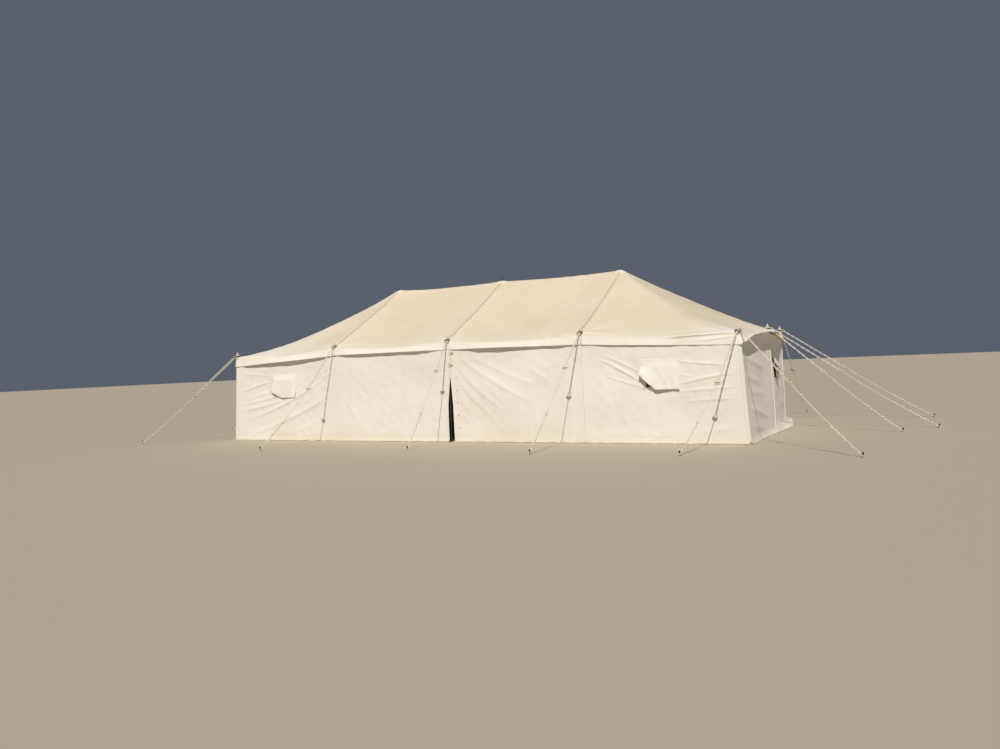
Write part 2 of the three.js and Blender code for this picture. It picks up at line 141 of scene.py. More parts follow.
def spread(tree, value, low=0.0, high=1.0, to_low=0.0, to_high=1.0):
    """A value whose range from low to high is spread over another range."""
    ends = {"From Min": low, "From Max": high, "To Min": to_low, "To Max": to_high}
    return add(tree, "ShaderNodeMapRange", {"Value": value, **ends}).outputs[0]


def noise(tree, place, scale, detail):
    """The value of a Noise texture."""
    return add(tree, "ShaderNodeTexNoise", {"Vector": place, "Scale": scale, "Detail": detail}).outputs["Fac"]


def tones(tree, share, low, high):
    """Two tones mixed by a share. A tone is a hex colour or a socket."""
    low, high = (linear(tone) if isinstance(tone, str) else tone for tone in (low, high))
    inputs = {"Factor": share, "A": low, "B": high}
    return add(tree, "ShaderNodeMix", inputs, data_type="RGBA").outputs["Result"]


def bumped(tree, height, strength, distance, **below):
    """The normal of a surface with small relief. below may give the normal that it lies over."""
    inputs = {"Height": height, "Strength": strength, "Distance": distance, **below}
    return add(tree, "ShaderNodeBump", inputs).outputs[0]


def blank_material(name):
    """A material with only its output and a Principled shader, and its tree."""
    material = bpy.data.materials.new(name)
    material.use_nodes = True
    tree = material.node_tree
    tree.nodes.clear()
    shader = add(tree, "ShaderNodeBsdfPrincipled")
    add(tree, "ShaderNodeOutputMaterial", {"Surface": shader.outputs["BSDF"]})
    return material, tree, shader


def mesh_of(name, spots, faces, edges=()):
    """A mesh from its points and its faces or edges."""
    mesh = bpy.data.meshes.new(name)
    mesh.from_pydata(spots, edges, faces)
    return mesh


# %% [markdown]
# ## Light and floor
# The picture is lit by one warm key from the front right, high enough to throw the shadow of each guy
# line down the wall, and by an even pale surround. A sun lamp gives the key the same direction all
# along the tent, and a small angle keeps its shadows soft. The floor is a plain pale sheet.

# %% Key light, surround and floor
KEY_HEADING = math.radians(17)
KEY_HEIGHT = math.radians(44)

key = new_object("key_light", bpy.data.lights.new("key_light", "SUN"))
key.data.energy = 3.05
key.data.angle = math.radians(0.3)
key.data.color = linear("#fff9ef")[:3]
flat = Vector((-math.sin(KEY_HEADING), math.cos(KEY_HEADING), 0))
beam = flat * math.cos(KEY_HEIGHT) - Vector((0, 0, math.sin(KEY_HEIGHT)))
key.rotation_mode = "QUATERNION"
key.rotation_quaternion = beam.to_track_quat("-Z", "Y")

surround = bpy.data.worlds.new("studio_surround")
surround.use_nodes = True
sky = surround.node_tree
feed(sky, sky.nodes["Background"], {"Color": linear("#abb7cc"), "Strength": 0.25})
bpy.context.scene.world = surround
bpy.context.scene.view_settings.view_transform = "Standard"

FLOOR_REACH = 150
corners = [(x * FLOOR_REACH, y * FLOOR_REACH, 0) for x, y in ((-1, -1), (1, -1), (1, 1), (-1, 1))]
floor = new_object("studio_floor", mesh_of("studio_floor", corners, [(0, 1, 2, 3)]))
floor_paper, tree, shader = blank_material("pale_floor_paper")
feed(tree, shader, {"Base Color": linear("#c5b8a4"), "Roughness": 0.95})
floor.data.materials.append(floor_paper)
floor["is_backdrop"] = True

# %% [markdown]
# ## Sizes of the tent
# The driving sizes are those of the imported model, in metres. Posts and poles are looked up in the
# frame, so that whatever sits on a post is placed by the post itself.

# %% Driving sizes
BAY = 3.05
HALF_WIDTH = 2.78
HALF_LENGTH = 2 * BAY
END_BOW = 0.11
PEAK = 3.66
FRONT_EAVE = [2.07, 2.18, 2.18, 2.18, 2.05]
BACK_EAVE = [2.14, 2.18, 2.18, 2.18, 2.14]
END_EAVE = 2.13
CANVAS = 0.003
EAVE_OUT = 0.032
RIDGE_SAG = 0.035
EAVE_SAG = 0.09
SEAM_SAG = 0.045
BAY_SAG = 0.095
HIP_SAG = 0.14
END_SAG = 0.10
VALANCE = 0.255
VALANCE_END_MIDDLE = 0.15
EAVE_REACH = HALF_WIDTH + EAVE_OUT
WALL_FACE = 0.0243
WALL_SPLAY = 0.02
CORNER_SPLAY = 0.12
BACK_SPLAY = 0.03
END_SPLAY = 0.07
STRAIGHT = 1.9
SIDES = ((-1, "front"), (1, "back"))
HANDS = ((-1, "left"), (1, "right"))
UP = np.array([0, 0, 1.0])


def mix(a, b, t):
    """From a to b as t goes from 0 to 1."""
    return a + (b - a) * t


def dip(t):
    """0 at both ends and 1 halfway, as a cloth sags between two supports."""
    return 4 * t * (1 - t)


def ease(t):
    """0 to 1 with soft ends."""
    t = np.clip(t, 0, 1)
    return t * t * (3 - 2 * t)


def unit(v):
    """A vector at length 1."""
    return v / np.linalg.norm(v)


def bay_of(x):
    """The bay that each x lies in, from 0, and how far through it, from 0 to 1."""
    bay = np.clip(np.floor(x / BAY + 2), 0, 3).astype(int)
    return bay, np.clip(x / BAY + 2 - bay, 0, 1)


def post_place(name):
    """The middle of a post on the ground, from the frame."""
    low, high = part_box(name)
    return (low.x + high.x) / 2, (low.y + high.y) / 2


gap = post_place("front_post_4")[0] - post_place("front_post_3")[0]
print("bay in the frame", round(gap, 4), "m, driving size", BAY, "m")

# %% [markdown]
# ## How a cloth is made
# Canvas under tension is a smooth surface with long shallow folds, so each cloth is a grid of points
# 1 to 7 cm apart, finest on the flaps and the front, worked out as one array. Folds are added as raised
# ridges along listed lines, the broad unevenness as a few crossing waves with a fixed seed. The
# same grid laid flat gives the UV map in metres, so that weave and stains follow the cloth, and
# Solidify gives it its thickness.

# %% Cloth tools
INSIDE = np.array([0, 0, 1.0])
cuts = {}


def ripple(a, b, size, seed, waves=9):
    """Broad unevenness from -1 to 1 or so, with features of about that size in metres."""
    random = np.random.default_rng(seed)
    total = 0
    for _ in range(waves):
        angle = random.uniform(0, math.tau)
        length = size * random.uniform(1.2, 2.4)
        shift = random.uniform(0, math.tau)
        total = total + np.sin((a * math.cos(angle) + b * math.sin(angle)) * math.tau / length + shift)
    return total / waves**0.5


def fold(a, b, start, end, width, height, bend=0.0):
    """A ridge from start to end that fades at both ends, with a sharper lower side. bend bows it."""
    run = np.array(end) - np.array(start)
    length = np.hypot(*run)
    t = ((a - start[0]) * run[0] + (b - start[1]) * run[1]) / length**2
    across = ((b - start[1]) * run[0] - (a - start[0]) * run[1]) / length
    t = np.clip(t, 0, 1)
    across = across - bend * dip(t)
    narrow = width * (0.55 + 0.45 * np.sin(math.pi * t))
    side = np.where(across > 0, narrow * 1.25, narrow * 0.62)
    return height * dip(t) ** 0.6 * np.exp(-((across / side) ** 2))


def place_piece(name, mesh, materials):
    """A finished mesh as an object at the origin, with smooth faces."""
    mesh.polygons.foreach_set("use_smooth", np.ones(len(mesh.polygons), bool))
    for material in materials:
        mesh.materials.append(material)
    return new_object(name, mesh)


def grid_faces(rows, columns, kept=None):
    """The quads of a grid of points, without those that kept leaves out."""
    index = np.arange(rows * columns).reshape(rows, columns)
    faces = np.stack([index[:-1, :-1], index[1:, :-1], index[1:, 1:], index[:-1, 1:]], axis=-1)
    return faces[kept] if kept is not None else faces.reshape(-1, 4)


def cloth(name, points, flat, materials, thickness=CANVAS, kept=None, bleach=None):
    """A cloth from a grid of points on its outer face, and the same grid laid flat.

    kept says which cells of the grid are cloth, and bleach how far each point has bleached, from 0 to 1.
    """
    rows, columns = points.shape[:2]
    faces = grid_faces(rows, columns, kept)
    spots = points.reshape(-1, 3)
    one_way = spots[faces[:, 1]] - spots[faces[:, 3]]
    other_way = spots[faces[:, 2]] - spots[faces[:, 0]]
    normals = np.cross(other_way, one_way)
    outwards = spots[faces].mean(axis=1) - INSIDE
    if (normals * outwards).sum() < 0:
        faces = faces[:, ::-1]
    mesh = mesh_of(name, spots.tolist(), faces.tolist())
    layer = mesh.uv_layers.new(name="cloth")
    corner = np.zeros(len(mesh.loops), np.int32)
    mesh.loops.foreach_get("vertex_index", corner)
    layer.data.foreach_set("uv", flat.reshape(-1, 2)[corner].ravel())
    piece = place_piece(name, mesh, materials)
    if bleach is not None:
        tone = mesh.attributes.new("bleach", "FLOAT", "POINT")
        tone.data.foreach_set("value", bleach.astype(np.float32).ravel())
    if kept is not None:
        remove_loose(mesh)
    solid = piece.modifiers.new("cloth thickness", "SOLIDIFY")
    solid.thickness = thickness
    solid.offset = -1
    laid = flat.reshape(-1, 2)[faces]
    one_way, other_way = laid[:, 2] - laid[:, 0], laid[:, 3] - laid[:, 1]
    area = np.abs(one_way[:, 0] * other_way[:, 1] - one_way[:, 1] * other_way[:, 0]).sum() / 2
    cuts[name] = (*np.ptp(flat.reshape(-1, 2), axis=0).tolist(), float(area))
    return piece


def remove_loose(mesh):
    """Takes out the points that no face uses."""
    work = bmesh.new()
    work.from_mesh(mesh)
    bmesh.ops.delete(work, geom=[v for v in work.verts if not v.link_faces], context="VERTS")
    work.to_mesh(mesh)
    work.free()


# %% [markdown]
# ## Canvas
# The tent is cotton duck, a plain weave of thick yarn, which has bleached to cream on the roof and
# stayed whiter on the walls. It has no gloss, a slight fuzz, and pale blotches and streaks where rain
# and dust have run down it. The colour comes from two tones mixed by broad blotches in Object
# coordinates and by streaks in the cloth's own UV, and sand splashes tint the foot of the walls.

# %% Canvas finish
THREAD_MM = 1.5  # heavy duck has two threads in 3 mm
CRUMPLE_MM = 70.0
SAND = "#d9bb90"


def bands_per_unit(spacing_mm):
    """The scale that gives a Wave texture one band in each spacing."""
    return 2 * math.pi / 20 / (spacing_mm / 1000)


def canvas(name, clean, worn, sand=0.0, streaks=0.35, bleached=None):
    """Woven cotton canvas: clean and worn tones, and how much sand clings to its foot.

    bleached gives both tones of its paler parts, which the cloth's own bleach attribute marks.
    """
    material, tree, shader = blank_material(name)
    place = add(tree, "ShaderNodeTexCoord").outputs["Object"]
    flat = add(tree, "ShaderNodeUVMap", uv_map="cloth").outputs["UV"]
    blotch = noise(tree, place, 0.9, 5)
    drawn_out = add(tree, "ShaderNodeMapping", {"Vector": flat, "Scale": (7, 0.5, 1)}).outputs[0]
    streak = noise(tree, drawn_out, 1, 3)
    speck = noise(tree, place, 28, 4)
    tone = calc(tree, "ADD", blotch, calc(tree, "MULTIPLY", streak, streaks))
    tone = calc(tree, "ADD", tone, calc(tree, "MULTIPLY", speck, 0.16))
    wear = spread(tree, tone, 0.5, 1.0)
    shown = tones(tree, wear, clean, worn)
    if bleached:
        paler = tones(tree, wear, *bleached)
        marked = add(tree, "ShaderNodeAttribute", attribute_name="bleach").outputs["Fac"]
        shown = tones(tree, marked, shown, paler)
    if sand > 0:
        height = add(tree, "ShaderNodeSeparateXYZ", {0: place}).outputs["Z"]
        reach = spread(tree, noise(tree, place, 2.2, 6), to_low=0.02, to_high=0.5)
        low = spread(tree, height, 0, reach, 1, 0)
        shown = tones(tree, calc(tree, "MULTIPLY", low, sand), shown, SAND)
    yarns = {"Vector": flat, "Scale": bands_per_unit(THREAD_MM)}
    warp = add(tree, "ShaderNodeTexWave", yarns, bands_direction="X").outputs["Fac"]
    weft = add(tree, "ShaderNodeTexWave", yarns, bands_direction="Y").outputs["Fac"]
    weave = calc(tree, "ADD", warp, weft)
    crumple = noise(tree, place, 1000 / CRUMPLE_MM / 2, 3)
    yarn = bumped(tree, weave, 0.25, 0.0005)
    relief = bumped(tree, crumple, 0.5, 0.008, Normal=yarn)
    rough = spread(tree, wear, to_low=0.82, to_high=0.95)
    feed(tree, shader, {"Base Color": shown, "Normal": relief, "Roughness": rough})
    feed(tree, shader, {"Specular IOR Level": 0.25, "Sheen Weight": 0.12, "Sheen Roughness": 0.6})
    return material


VALANCE_TONES = ("#faf6ee", "#f4ede1")
roof_canvas = canvas("sun_bleached_duck", "#f0e1ca", "#e5d4b9", streaks=0.3, bleached=VALANCE_TONES)
wall_canvas = canvas("off_white_duck", "#f3efe8", "#ebe5da", sand=0.22)
end_wall_canvas = canvas("off_white_duck_of_the_ends", "#f3efe8", "#ebe5da", sand=0.08)
flap_canvas = canvas("window_flap_duck", "#f4f0e9", "#ede7dc")
cap_canvas = canvas("doubled_duck", "#f5efe4", "#ece4d4")

# %% [markdown]
# ## Roof
# Each laced section is one continuous sheet: over a bay it runs from the front hem up over the ridge
# to the back hem, and over an end it fans out from the last peak. The slope hangs in a shallow curve
# between its supports, the long hips most of all. The hip isn't a crease on the real tent, because
# only the corner guy pulls there, so the fan is averaged across its hips. Puckers spread from each
# spike, and the valance hangs free below the eave fold with its hem standing off the wall.

# %% The shape of a bay
HEM_OUT_POST = 0.012
HEM_OUT_MIDDLE = np.array([0.058, 0.040, 0.042, 0.026])
HEM_DRAWN_IN = -0.0045
DEPTH_AT_POST = np.array([0.250, 0.205, 0.205, 0.240, 0.245])
DEPTH_LESS = np.array([0.085, 0.100, 0.100, 0.080])
POST_X = [(i - 2) * BAY for i in range(5)]
WAVE_HEIGHT = 0.008
WAVE_SIZE = 0.28


def hem_out(x):
    """How far the hem of the side valance stands out from the eave fold."""
    bay, t = bay_of(x)
    free = mix(HEM_OUT_POST, HEM_OUT_MIDDLE[bay], dip(t))
    return mix(free, HEM_DRAWN_IN, np.where(bay == 3, ease((t - 0.35) / 0.4), 0))


def side_depth(x):
    """How deep the side valance hangs: least between the posts, where its hem is drawn up."""
    bay, t = bay_of(x)
    return mix(DEPTH_AT_POST[bay], DEPTH_AT_POST[bay + 1], t) - DEPTH_LESS[bay] * dip(t)


def valance_wave(along, fall, seed):
    """Loose waves of the hanging valance: none at the eave and at each post, most at its hem."""
    loose = dip(np.clip((along / BAY) % 1, 0, 1)) ** 0.5
    return fall * loose * WAVE_HEIGHT * ripple(along, 0.2 * along, WAVE_SIZE, seed)


def bay_surface(first, u, v):
    """The roof over a bay. u runs along it, and v from the front hem, -2, to the back hem, 2."""
    side = np.where(v < 0, -1.0, 1.0)
    down = np.minimum(np.abs(v), 1)
    fall = np.maximum(np.abs(v) - 1, 0)
    front = mix(FRONT_EAVE[first], FRONT_EAVE[first + 1], u)
    back = mix(BACK_EAVE[first], BACK_EAVE[first + 1], u)
    eave = np.where(v < 0, front, back) - EAVE_SAG * dip(u)
    ridge = PEAK - RIDGE_SAG * dip(u)
    slack = mix(SEAM_SAG, BAY_SAG, dip(u)) * dip(down)
    x = (first - 2 + u) * BAY
    depth = side_depth(x)
    y = side * (EAVE_REACH * down + fall * hem_out(x) + valance_wave(x, fall, 40))
    return np.stack([x + 0 * v, y, mix(ridge, eave, down) - slack - fall * depth], axis=-1)


# %% The shape of an end
RIGHT_SLACK = [SEAM_SAG, HIP_SAG, END_SAG, 0.05, SEAM_SAG]
LEFT_SLACK = [SEAM_SAG, HIP_SAG, END_SAG, HIP_SAG, SEAM_SAG]
LIFT_AT = [0, 0.6, 0.98, 1.12, 1.3, 1.5, 1.75, 2, 2.3, 2.65, 3, 4]
RIGHT_LIFT = [0.1, 0.0, 0.0, 0.85, 1.45, 1.85, 1.75, 1.25, 1.3, 0.8, 0.25, 0.14]
LEFT_LIFT = [0.1, 0.1, 0.1, 0.2, 0.4, 0.6, 0.6, 0.5, 0.6, 0.5, 0.2, 0.14]


def end_surface(side, u, v):
    """The roof over an end. u fans from 0, the front seam, over the end, 2, to the back seam, 4."""
    front = FRONT_EAVE[0] if side < 0 else FRONT_EAVE[4]
    back = BACK_EAVE[0] if side < 0 else BACK_EAVE[4]
    peak_x = side * BAY
    corner_x = side * (HALF_LENGTH + EAVE_OUT)
    spots = np.array(
        [
            [peak_x, -EAVE_REACH, FRONT_EAVE[2]],
            [corner_x, -EAVE_REACH, front],
            [side * (HALF_LENGTH + END_BOW + EAVE_OUT), 0, END_EAVE],
            [corner_x, EAVE_REACH, back],
            [peak_x, EAVE_REACH, BACK_EAVE[2]],
        ]
    )
    outwards = np.array([[0, -1, 0], [side * 0.7, -0.7, 0], [side, 0, 0], [side * 0.7, 0.7, 0], [0, 1, 0]])
    k = np.clip(np.floor(u), 0, 3).astype(int)
    t = u - k
    soft = ease(t)
    between = mix(spots[k], spots[k + 1], t[..., None])
    between[..., 2] -= EAVE_SAG * dip(t)
    normal = mix(outwards[k], outwards[k + 1], soft[..., None])
    normal = normal / np.linalg.norm(normal, axis=-1, keepdims=True)
    down = np.minimum(v, 1)[..., None]
    fall = np.maximum(v - 1, 0)
    points = mix(np.array([peak_x, 0, PEAK]), between, down)
    slack = np.array(RIGHT_SLACK if side > 0 else LEFT_SLACK)
    points[..., 2] -= mix(slack[k], slack[k + 1], soft) * dip(down[..., 0])
    lift = np.interp(u, LIFT_AT, RIGHT_LIFT if side > 0 else LEFT_LIFT)
    on_side = (k == 0) | (k == 3)
    depth = np.where(on_side, side_depth(points[..., 0]), mix(VALANCE, VALANCE_END_MIDDLE, dip(t) ** 0.5))
    depth = depth * (1 - 0.25 * np.maximum(lift - 0.6, 0))
    flown = depth * np.sin(lift)
    near_seam = np.where(k == 0, 1 - soft, np.where(k == 3, soft, 0))
    near_seam = np.where(on_side, ease(near_seam * 2.2), 0)
    out = mix(flown, hem_out(points[..., 0]), near_seam) + valance_wave(u * BAY, 1, 60 + side)
    points = points + normal * (fall * out)[..., None]
    points[..., 2] -= fall * depth * np.cos(lift)
    return points


# %% Puckers, eave fold and hips
def grid_normals(points):
    """The outward normal at each point of a roof grid."""
    along = np.gradient(points, axis=0)
    down = np.gradient(points, axis=1)
    normals = np.cross(along, down)
    normals /= np.maximum(np.linalg.norm(normals, axis=-1, keepdims=True), 1e-9)
    outwards = points - INSIDE
    return normals * np.where((normals * outwards).sum(axis=-1, keepdims=True) < 0, -1, 1)


def pucker(points, spot, count, reach, height, turn):
    """Small folds that spread from a spike and die out."""
    offset = points - np.array(spot)
    distance = np.linalg.norm(offset, axis=-1) / reach
    angle = np.arctan2(offset[..., 1], offset[..., 0])
    swell = distance * np.exp(1 - 2.4 * distance) * 1.6
    return height * swell * np.cos(count * angle + turn) * (1 + 0.4 * np.cos(2.3 * angle + turn))


def soften_rows(points, rows, times=3):
    """Rounds a fold that lies along a row of the grid."""
    for _ in range(times):
        middle = points[:, 1:-1] * 0.5 + points[:, :-2] * 0.25 + points[:, 2:] * 0.25
        weight = np.zeros(points.shape[1] - 2)
        weight[[row - 1 for row in rows]] = 1
        points[:, 1:-1] += (middle - points[:, 1:-1]) * weight[None, :, None]
    return points


def soften_hips(points, slopes, strength=180):
    """Averages the fan across its hips, least at the peak, at the eave and in the valance."""
    weight = np.sin(math.pi * np.clip(slopes, 0, 1)) ** 0.6
    weight = np.where((slopes > 0) & (slopes < 1), weight, 0)[None, :, None]
    for _ in range(strength):
        middle = points[1:-1] * 0.5 + points[:-2] * 0.25 + points[2:] * 0.25
        points[1:-1] += (middle - points[1:-1]) * weight
    return points


SPIKES = [(x, -HALF_WIDTH, z) for x, z in zip(POST_X, FRONT_EAVE)]
SPIKES += [(x, HALF_WIDTH, z) for x, z in zip(POST_X, BACK_EAVE)]
SPIKES += [(side * (HALF_LENGTH + END_BOW), 0, END_EAVE) for side in (-1, 1)]
PEAKS = [(x, 0, PEAK) for x in POST_X[1:4]]
# Each pucker is how many folds spread, how far they reach and how high they are.
SPIKE_PUCKER = (9, 0.5, 0.014)
PEAK_PUCKER = (13, 0.6, 0.006)
FLAT_ROUND = 0.12
CORNER_CREASES = [
    ((4.75, 1.985), (6.06, 2.035), 0.030, 0.026, 0.015),
    ((5.35, 1.905), (6.05, 1.965), 0.026, 0.012, 0.0),
    ((5.25, 2.13), (5.98, 2.09), 0.045, 0.014, 0.02),
]


def relax(points, seed):
    """Adds the puckers, the broad unevenness and the creases at the right front corner."""
    x, y, z = np.moveaxis(points, -1, 0)
    lift = 0.005 * ripple(x, y, 0.9, seed) + 0.0022 * ripple(x, y, 0.22, seed + 1)
    for number, spot in enumerate(SPIKES):
        lift = lift + pucker(points, spot, *SPIKE_PUCKER, number * 1.7)
    for number, spot in enumerate(PEAKS):
        lift = lift + pucker(points, spot, *PEAK_PUCKER, number * 2.3)
    for crease in CORNER_CREASES:
        lift = lift + np.where(y < -2.2, fold(x, z, *crease), 0)
    still = np.ones(points.shape[:2])
    for spot in SPIKES + PEAKS:
        still *= ease(np.linalg.norm(points - np.array(spot), axis=-1) / FLAT_ROUND)
    return points + grid_normals(points) * (lift * still)[..., None]


# %% Build the four sections
CELL = 0.045
ROOF_SEED = 2
EAVE_STEPS = np.array([0.004, 0.011, 0.022])
NEAR_EAVE = 0.012
BAY_COLUMNS = 73
FAN_COLUMNS = 201
EYELET_SHARE = 0.0012

# Where the canvas has bleached. The first two are shares of the slope and the valance, and the others
# are metres from the middle of the tent, along it, and from its right front corner.
BLEACH_OVER_EAVE = 0.22
BLEACH_FADES = 0.54
LEFT_BLEACH_FROM = 3.3
LEFT_BLEACH_FADES = 2.2
CORNER_BLEACH_FADES = 1.3


def slope_steps(length):
    """Where the rows of a slope lie, from 0 at the ridge to 1 at the eave, with close rows at the eave."""
    even = np.linspace(0, 1 - 0.04 / length, int(length / CELL))[1:]
    return np.concatenate([even, 1 - EAVE_STEPS[::-1] / length, [1]])


def valance_steps(rows):
    """The rows of the valance, from just past the eave to the hem, at 2."""
    return np.concatenate([1 + EAVE_STEPS / VALANCE, np.linspace(1.14, 2, rows)])


def far_along(points):
    """How far along its row each point of a grid lies, in metres."""
    steps = np.linalg.norm(np.diff(points, axis=1), axis=-1)
    return np.concatenate([np.zeros((len(points), 1)), np.cumsum(steps, axis=1)], axis=1)


def laid_flat(points):
    """The grid laid flat: distances along its middle column and down each row, in metres."""
    down = far_along(points)
    along = far_along(points[None, :, points.shape[1] // 2])[0]
    return np.stack([np.broadcast_to(along[:, None], down.shape), down], axis=-1)


def fan_flat(points, eave_row):
    """An end section laid flat: the fan opened out round its peak, in metres."""
    far = far_along(points)
    chords = np.linalg.norm(np.diff(points[:, eave_row], axis=0), axis=-1)
    one, other = far[:-1, eave_row], far[1:, eave_row]
    opening = np.arccos(np.clip((one**2 + other**2 - chords**2) / (2 * one * other), -1, 1))
    turn = np.concatenate([[0], np.cumsum(opening)])
    turn = (turn - turn[-1] / 2)[:, None]
    return np.stack([far * np.sin(turn), far * np.cos(turn)], axis=-1)


def bleach_of(points, rows):
    """How far each part of a section has bleached: its valance, its left end and its right corner."""
    fall = np.abs(rows)[None, :] - 1
    corner = np.linalg.norm(points - np.array([HALF_LENGTH, -HALF_WIDTH, FRONT_EAVE[4]]), axis=-1)
    bleach = ease((fall + BLEACH_OVER_EAVE) / BLEACH_FADES)
    left = ease((-points[..., 0] - LEFT_BLEACH_FROM) / LEFT_BLEACH_FADES)
    bleach = np.maximum(bleach, 0.75 * left)
    return np.maximum(bleach, 0.85 * ease(1.1 - corner / CORNER_BLEACH_FADES))


def tell(name, points, piece):
    """Prints the area of a cloth and how many faces it has."""
    along, down = np.diff(points, axis=0)[:, :-1], np.diff(points, axis=1)[:-1]
    area = float(np.linalg.norm(np.cross(along, down), axis=-1).sum())
    print(name, "cloth area", round(area, 2), "m2, faces", len(piece.data.polygons))


half = np.concatenate([slope_steps(3.2), valance_steps(8)])
across = np.concatenate([-half[::-1], [0], half])
fan = np.concatenate([[EYELET_SHARE], slope_steps(3.4), valance_steps(13)])
eave_rows = [i for i, v in enumerate(across) if abs(abs(v) - 1) < NEAR_EAVE]
fan_eave = [i for i, v in enumerate(fan) if abs(v - 1) < NEAR_EAVE]
grids, roofs = {}, {}
for first, name in ((1, "roof_left_bay"), (2, "roof_right_bay")):
    u, v = np.meshgrid(np.linspace(0, 1, BAY_COLUMNS), across, indexing="ij")
    grids[name] = relax(soften_rows(bay_surface(first, u, v), eave_rows), ROOF_SEED)
for side, name in ((-1, "roof_left_end"), (1, "roof_right_end")):
    u, v = np.meshgrid(np.linspace(0, 4, FAN_COLUMNS), fan, indexing="ij")
    points = soften_hips(end_surface(side, u, v), fan)
    grids[name] = relax(soften_rows(points, fan_eave), ROOF_SEED)
for name, points in grids.items():
    flat = fan_flat(points, fan_eave[1]) if "end" in name else laid_flat(points)
    rows = fan if "end" in name else across
    roofs[name] = cloth(name + "_canvas", points, flat, [roof_canvas], bleach=bleach_of(points, rows))
    tell(name, points, roofs[name])

# %% [markdown]
# ## Walls
# The walls are curtains hooked up behind the valance. Each hangs straight past the post tops, leans
# out a little to its foot, and is drawn in between the posts at its head. Wind and the pull of the
# window flaps leave long slack folds, which are listed where the picture shows them, in metres
# along the ridge and above the ground. At its foot the curtain turns out into a skirt on the ground.

# %% The relief of a side wall
HEAD_DROP = 0.075
DOOR_AT = [0, 0.5, 0.8, 0.95, 1.2, 1.42, 1.7, 2.0]
DOOR_LEFT = [-0.028, -0.03, -0.029, -0.013, 0.014, 0.036, 0.062, 0.09]
DOOR_GAP = [0.130, 0.125, 0.117, 0.088, 0.042, 0.001, 0.001, 0.001]
WINDOW_WIDTH = 0.56
WINDOW_HEIGHT = 0.45
WINDOW_Z = 1.3
WINDOW_TOP = WINDOW_Z + WINDOW_HEIGHT / 2
WINDOW_FOOT = WINDOW_Z - WINDOW_HEIGHT / 2
WINDOW_X = 4.63
DRAWN_IN = np.array([0.05, 0.036, 0.033, 0.016])
DRAWN_FROM = 0.7
DRAWN_OVER = 1.1

LEFT_WINDOW_FOLDS = [
    ((-6.05, 1.15), (-5.05, 1.42), 0.039, 0.020, 0.02),
    ((-5.75, 1.00), (-5.02, 1.17), 0.028, 0.013, 0.01),
    ((-5.95, 0.88), (-4.60, 1.14), 0.028, 0.015, -0.03),
    ((-5.95, 0.72), (-4.45, 1.02), 0.030, 0.018, -0.03),
    ((-5.75, 0.52), (-3.15, 1.62), 0.039, 0.022, -0.13),
    ((-5.70, 0.12), (-3.05, 1.15), 0.050, 0.022, -0.08),
    ((-4.28, 1.10), (-3.20, 1.78), 0.025, 0.015, -0.02),
    ((-4.30, 1.24), (-3.65, 1.62), 0.020, 0.008, 0.01),
    ((-4.60, 0.12), (-3.20, 0.62), 0.044, 0.012, -0.03),
    ((-6.00, 1.62), (-5.10, 1.55), 0.034, 0.008, 0.02),
]
DOOR_FOLDS = [
    ((-2.90, 1.15), (-2.15, 0.15), 0.068, 0.005, -0.05),
    ((-2.75, 0.50), (-2.00, 0.10), 0.056, 0.004, 0.0),
    ((-2.30, 1.20), (-1.30, 0.95), 0.099, 0.003, 0.03),
    ((0.18, 1.86), (1.95, 0.82), 0.046, 0.011, -0.06),
    ((0.16, 1.66), (1.45, 0.60), 0.040, 0.011, -0.09),
    ((0.60, 1.78), (2.10, 1.15), 0.050, 0.008, -0.03),
    ((0.24, 1.30), (1.10, 0.50), 0.037, 0.009, -0.05),
    ((0.26, 1.05), (0.72, 0.25), 0.031, 0.008, -0.03),
    ((1.60, 1.74), (2.45, 1.18), 0.043, 0.006, -0.02),
    ((0.30, 0.62), (0.62, 0.10), 0.031, 0.006, 0.0),
]
RIGHT_WINDOW_FOLDS = [
    ((3.45, 1.63), (4.32, 1.13), 0.024, 0.024, 0.02),
    ((3.50, 1.72), (4.25, 1.36), 0.022, 0.013, 0.01),
    ((3.55, 1.30), (4.35, 1.05), 0.022, 0.010, 0.0),
    ((4.98, 1.55), (5.95, 1.44), 0.019, 0.015, -0.01),
    ((4.96, 1.30), (5.40, 1.22), 0.013, 0.010, 0.0),
    ((4.95, 1.10), (6.05, 1.30), 0.021, 0.019, 0.02),
    ((4.95, 0.97), (6.12, 1.05), 0.022, 0.011, 0.0),
    ((5.05, 0.78), (6.14, 0.83), 0.024, 0.010, 0.01),
    ((5.30, 0.18), (6.18, 0.34), 0.024, 0.011, 0.0),
    ((4.00, 0.12), (5.40, 0.10), 0.030, 0.006, 0.0),
]
SIDE_FOLDS = LEFT_WINDOW_FOLDS + DOOR_FOLDS + RIGHT_WINDOW_FOLDS


def lean(z):
    """How far out the wall leans: 0 above the post tops and 1 on the ground."""
    return np.clip(1 - (z - CANVAS) / (STRAIGHT - CANVAS), 0, 1)


def side_relief(side, x, z):
    """How far a side wall stands out from its flat form, in metres."""
    seed = 5 if side < 0 else 25
    bay, t = bay_of(x)
    taut = np.where(bay == 3, ease((t - 0.5) / 0.3), 0)
    relief = (0.003 * taut - DRAWN_IN[bay] * dip(t) * (1 - taut)) * ease((z - DRAWN_FROM) / DRAWN_OVER)
    for crease in SIDE_FOLDS:
        relief = relief + fold(x, z, *crease)
    relief = relief + 0.010 * ripple(x, z, 0.8, seed) + 0.0022 * ripple(x, z, 0.16, seed + 1)
    held = ease((HALF_LENGTH + 0.1 - np.abs(x)) / 0.12) * ease(z / 0.2)
    near_post = np.abs(x / BAY - np.round(x / BAY)) * BAY
    return relief * held * mix(0.35, 1, ease(near_post / 0.35))


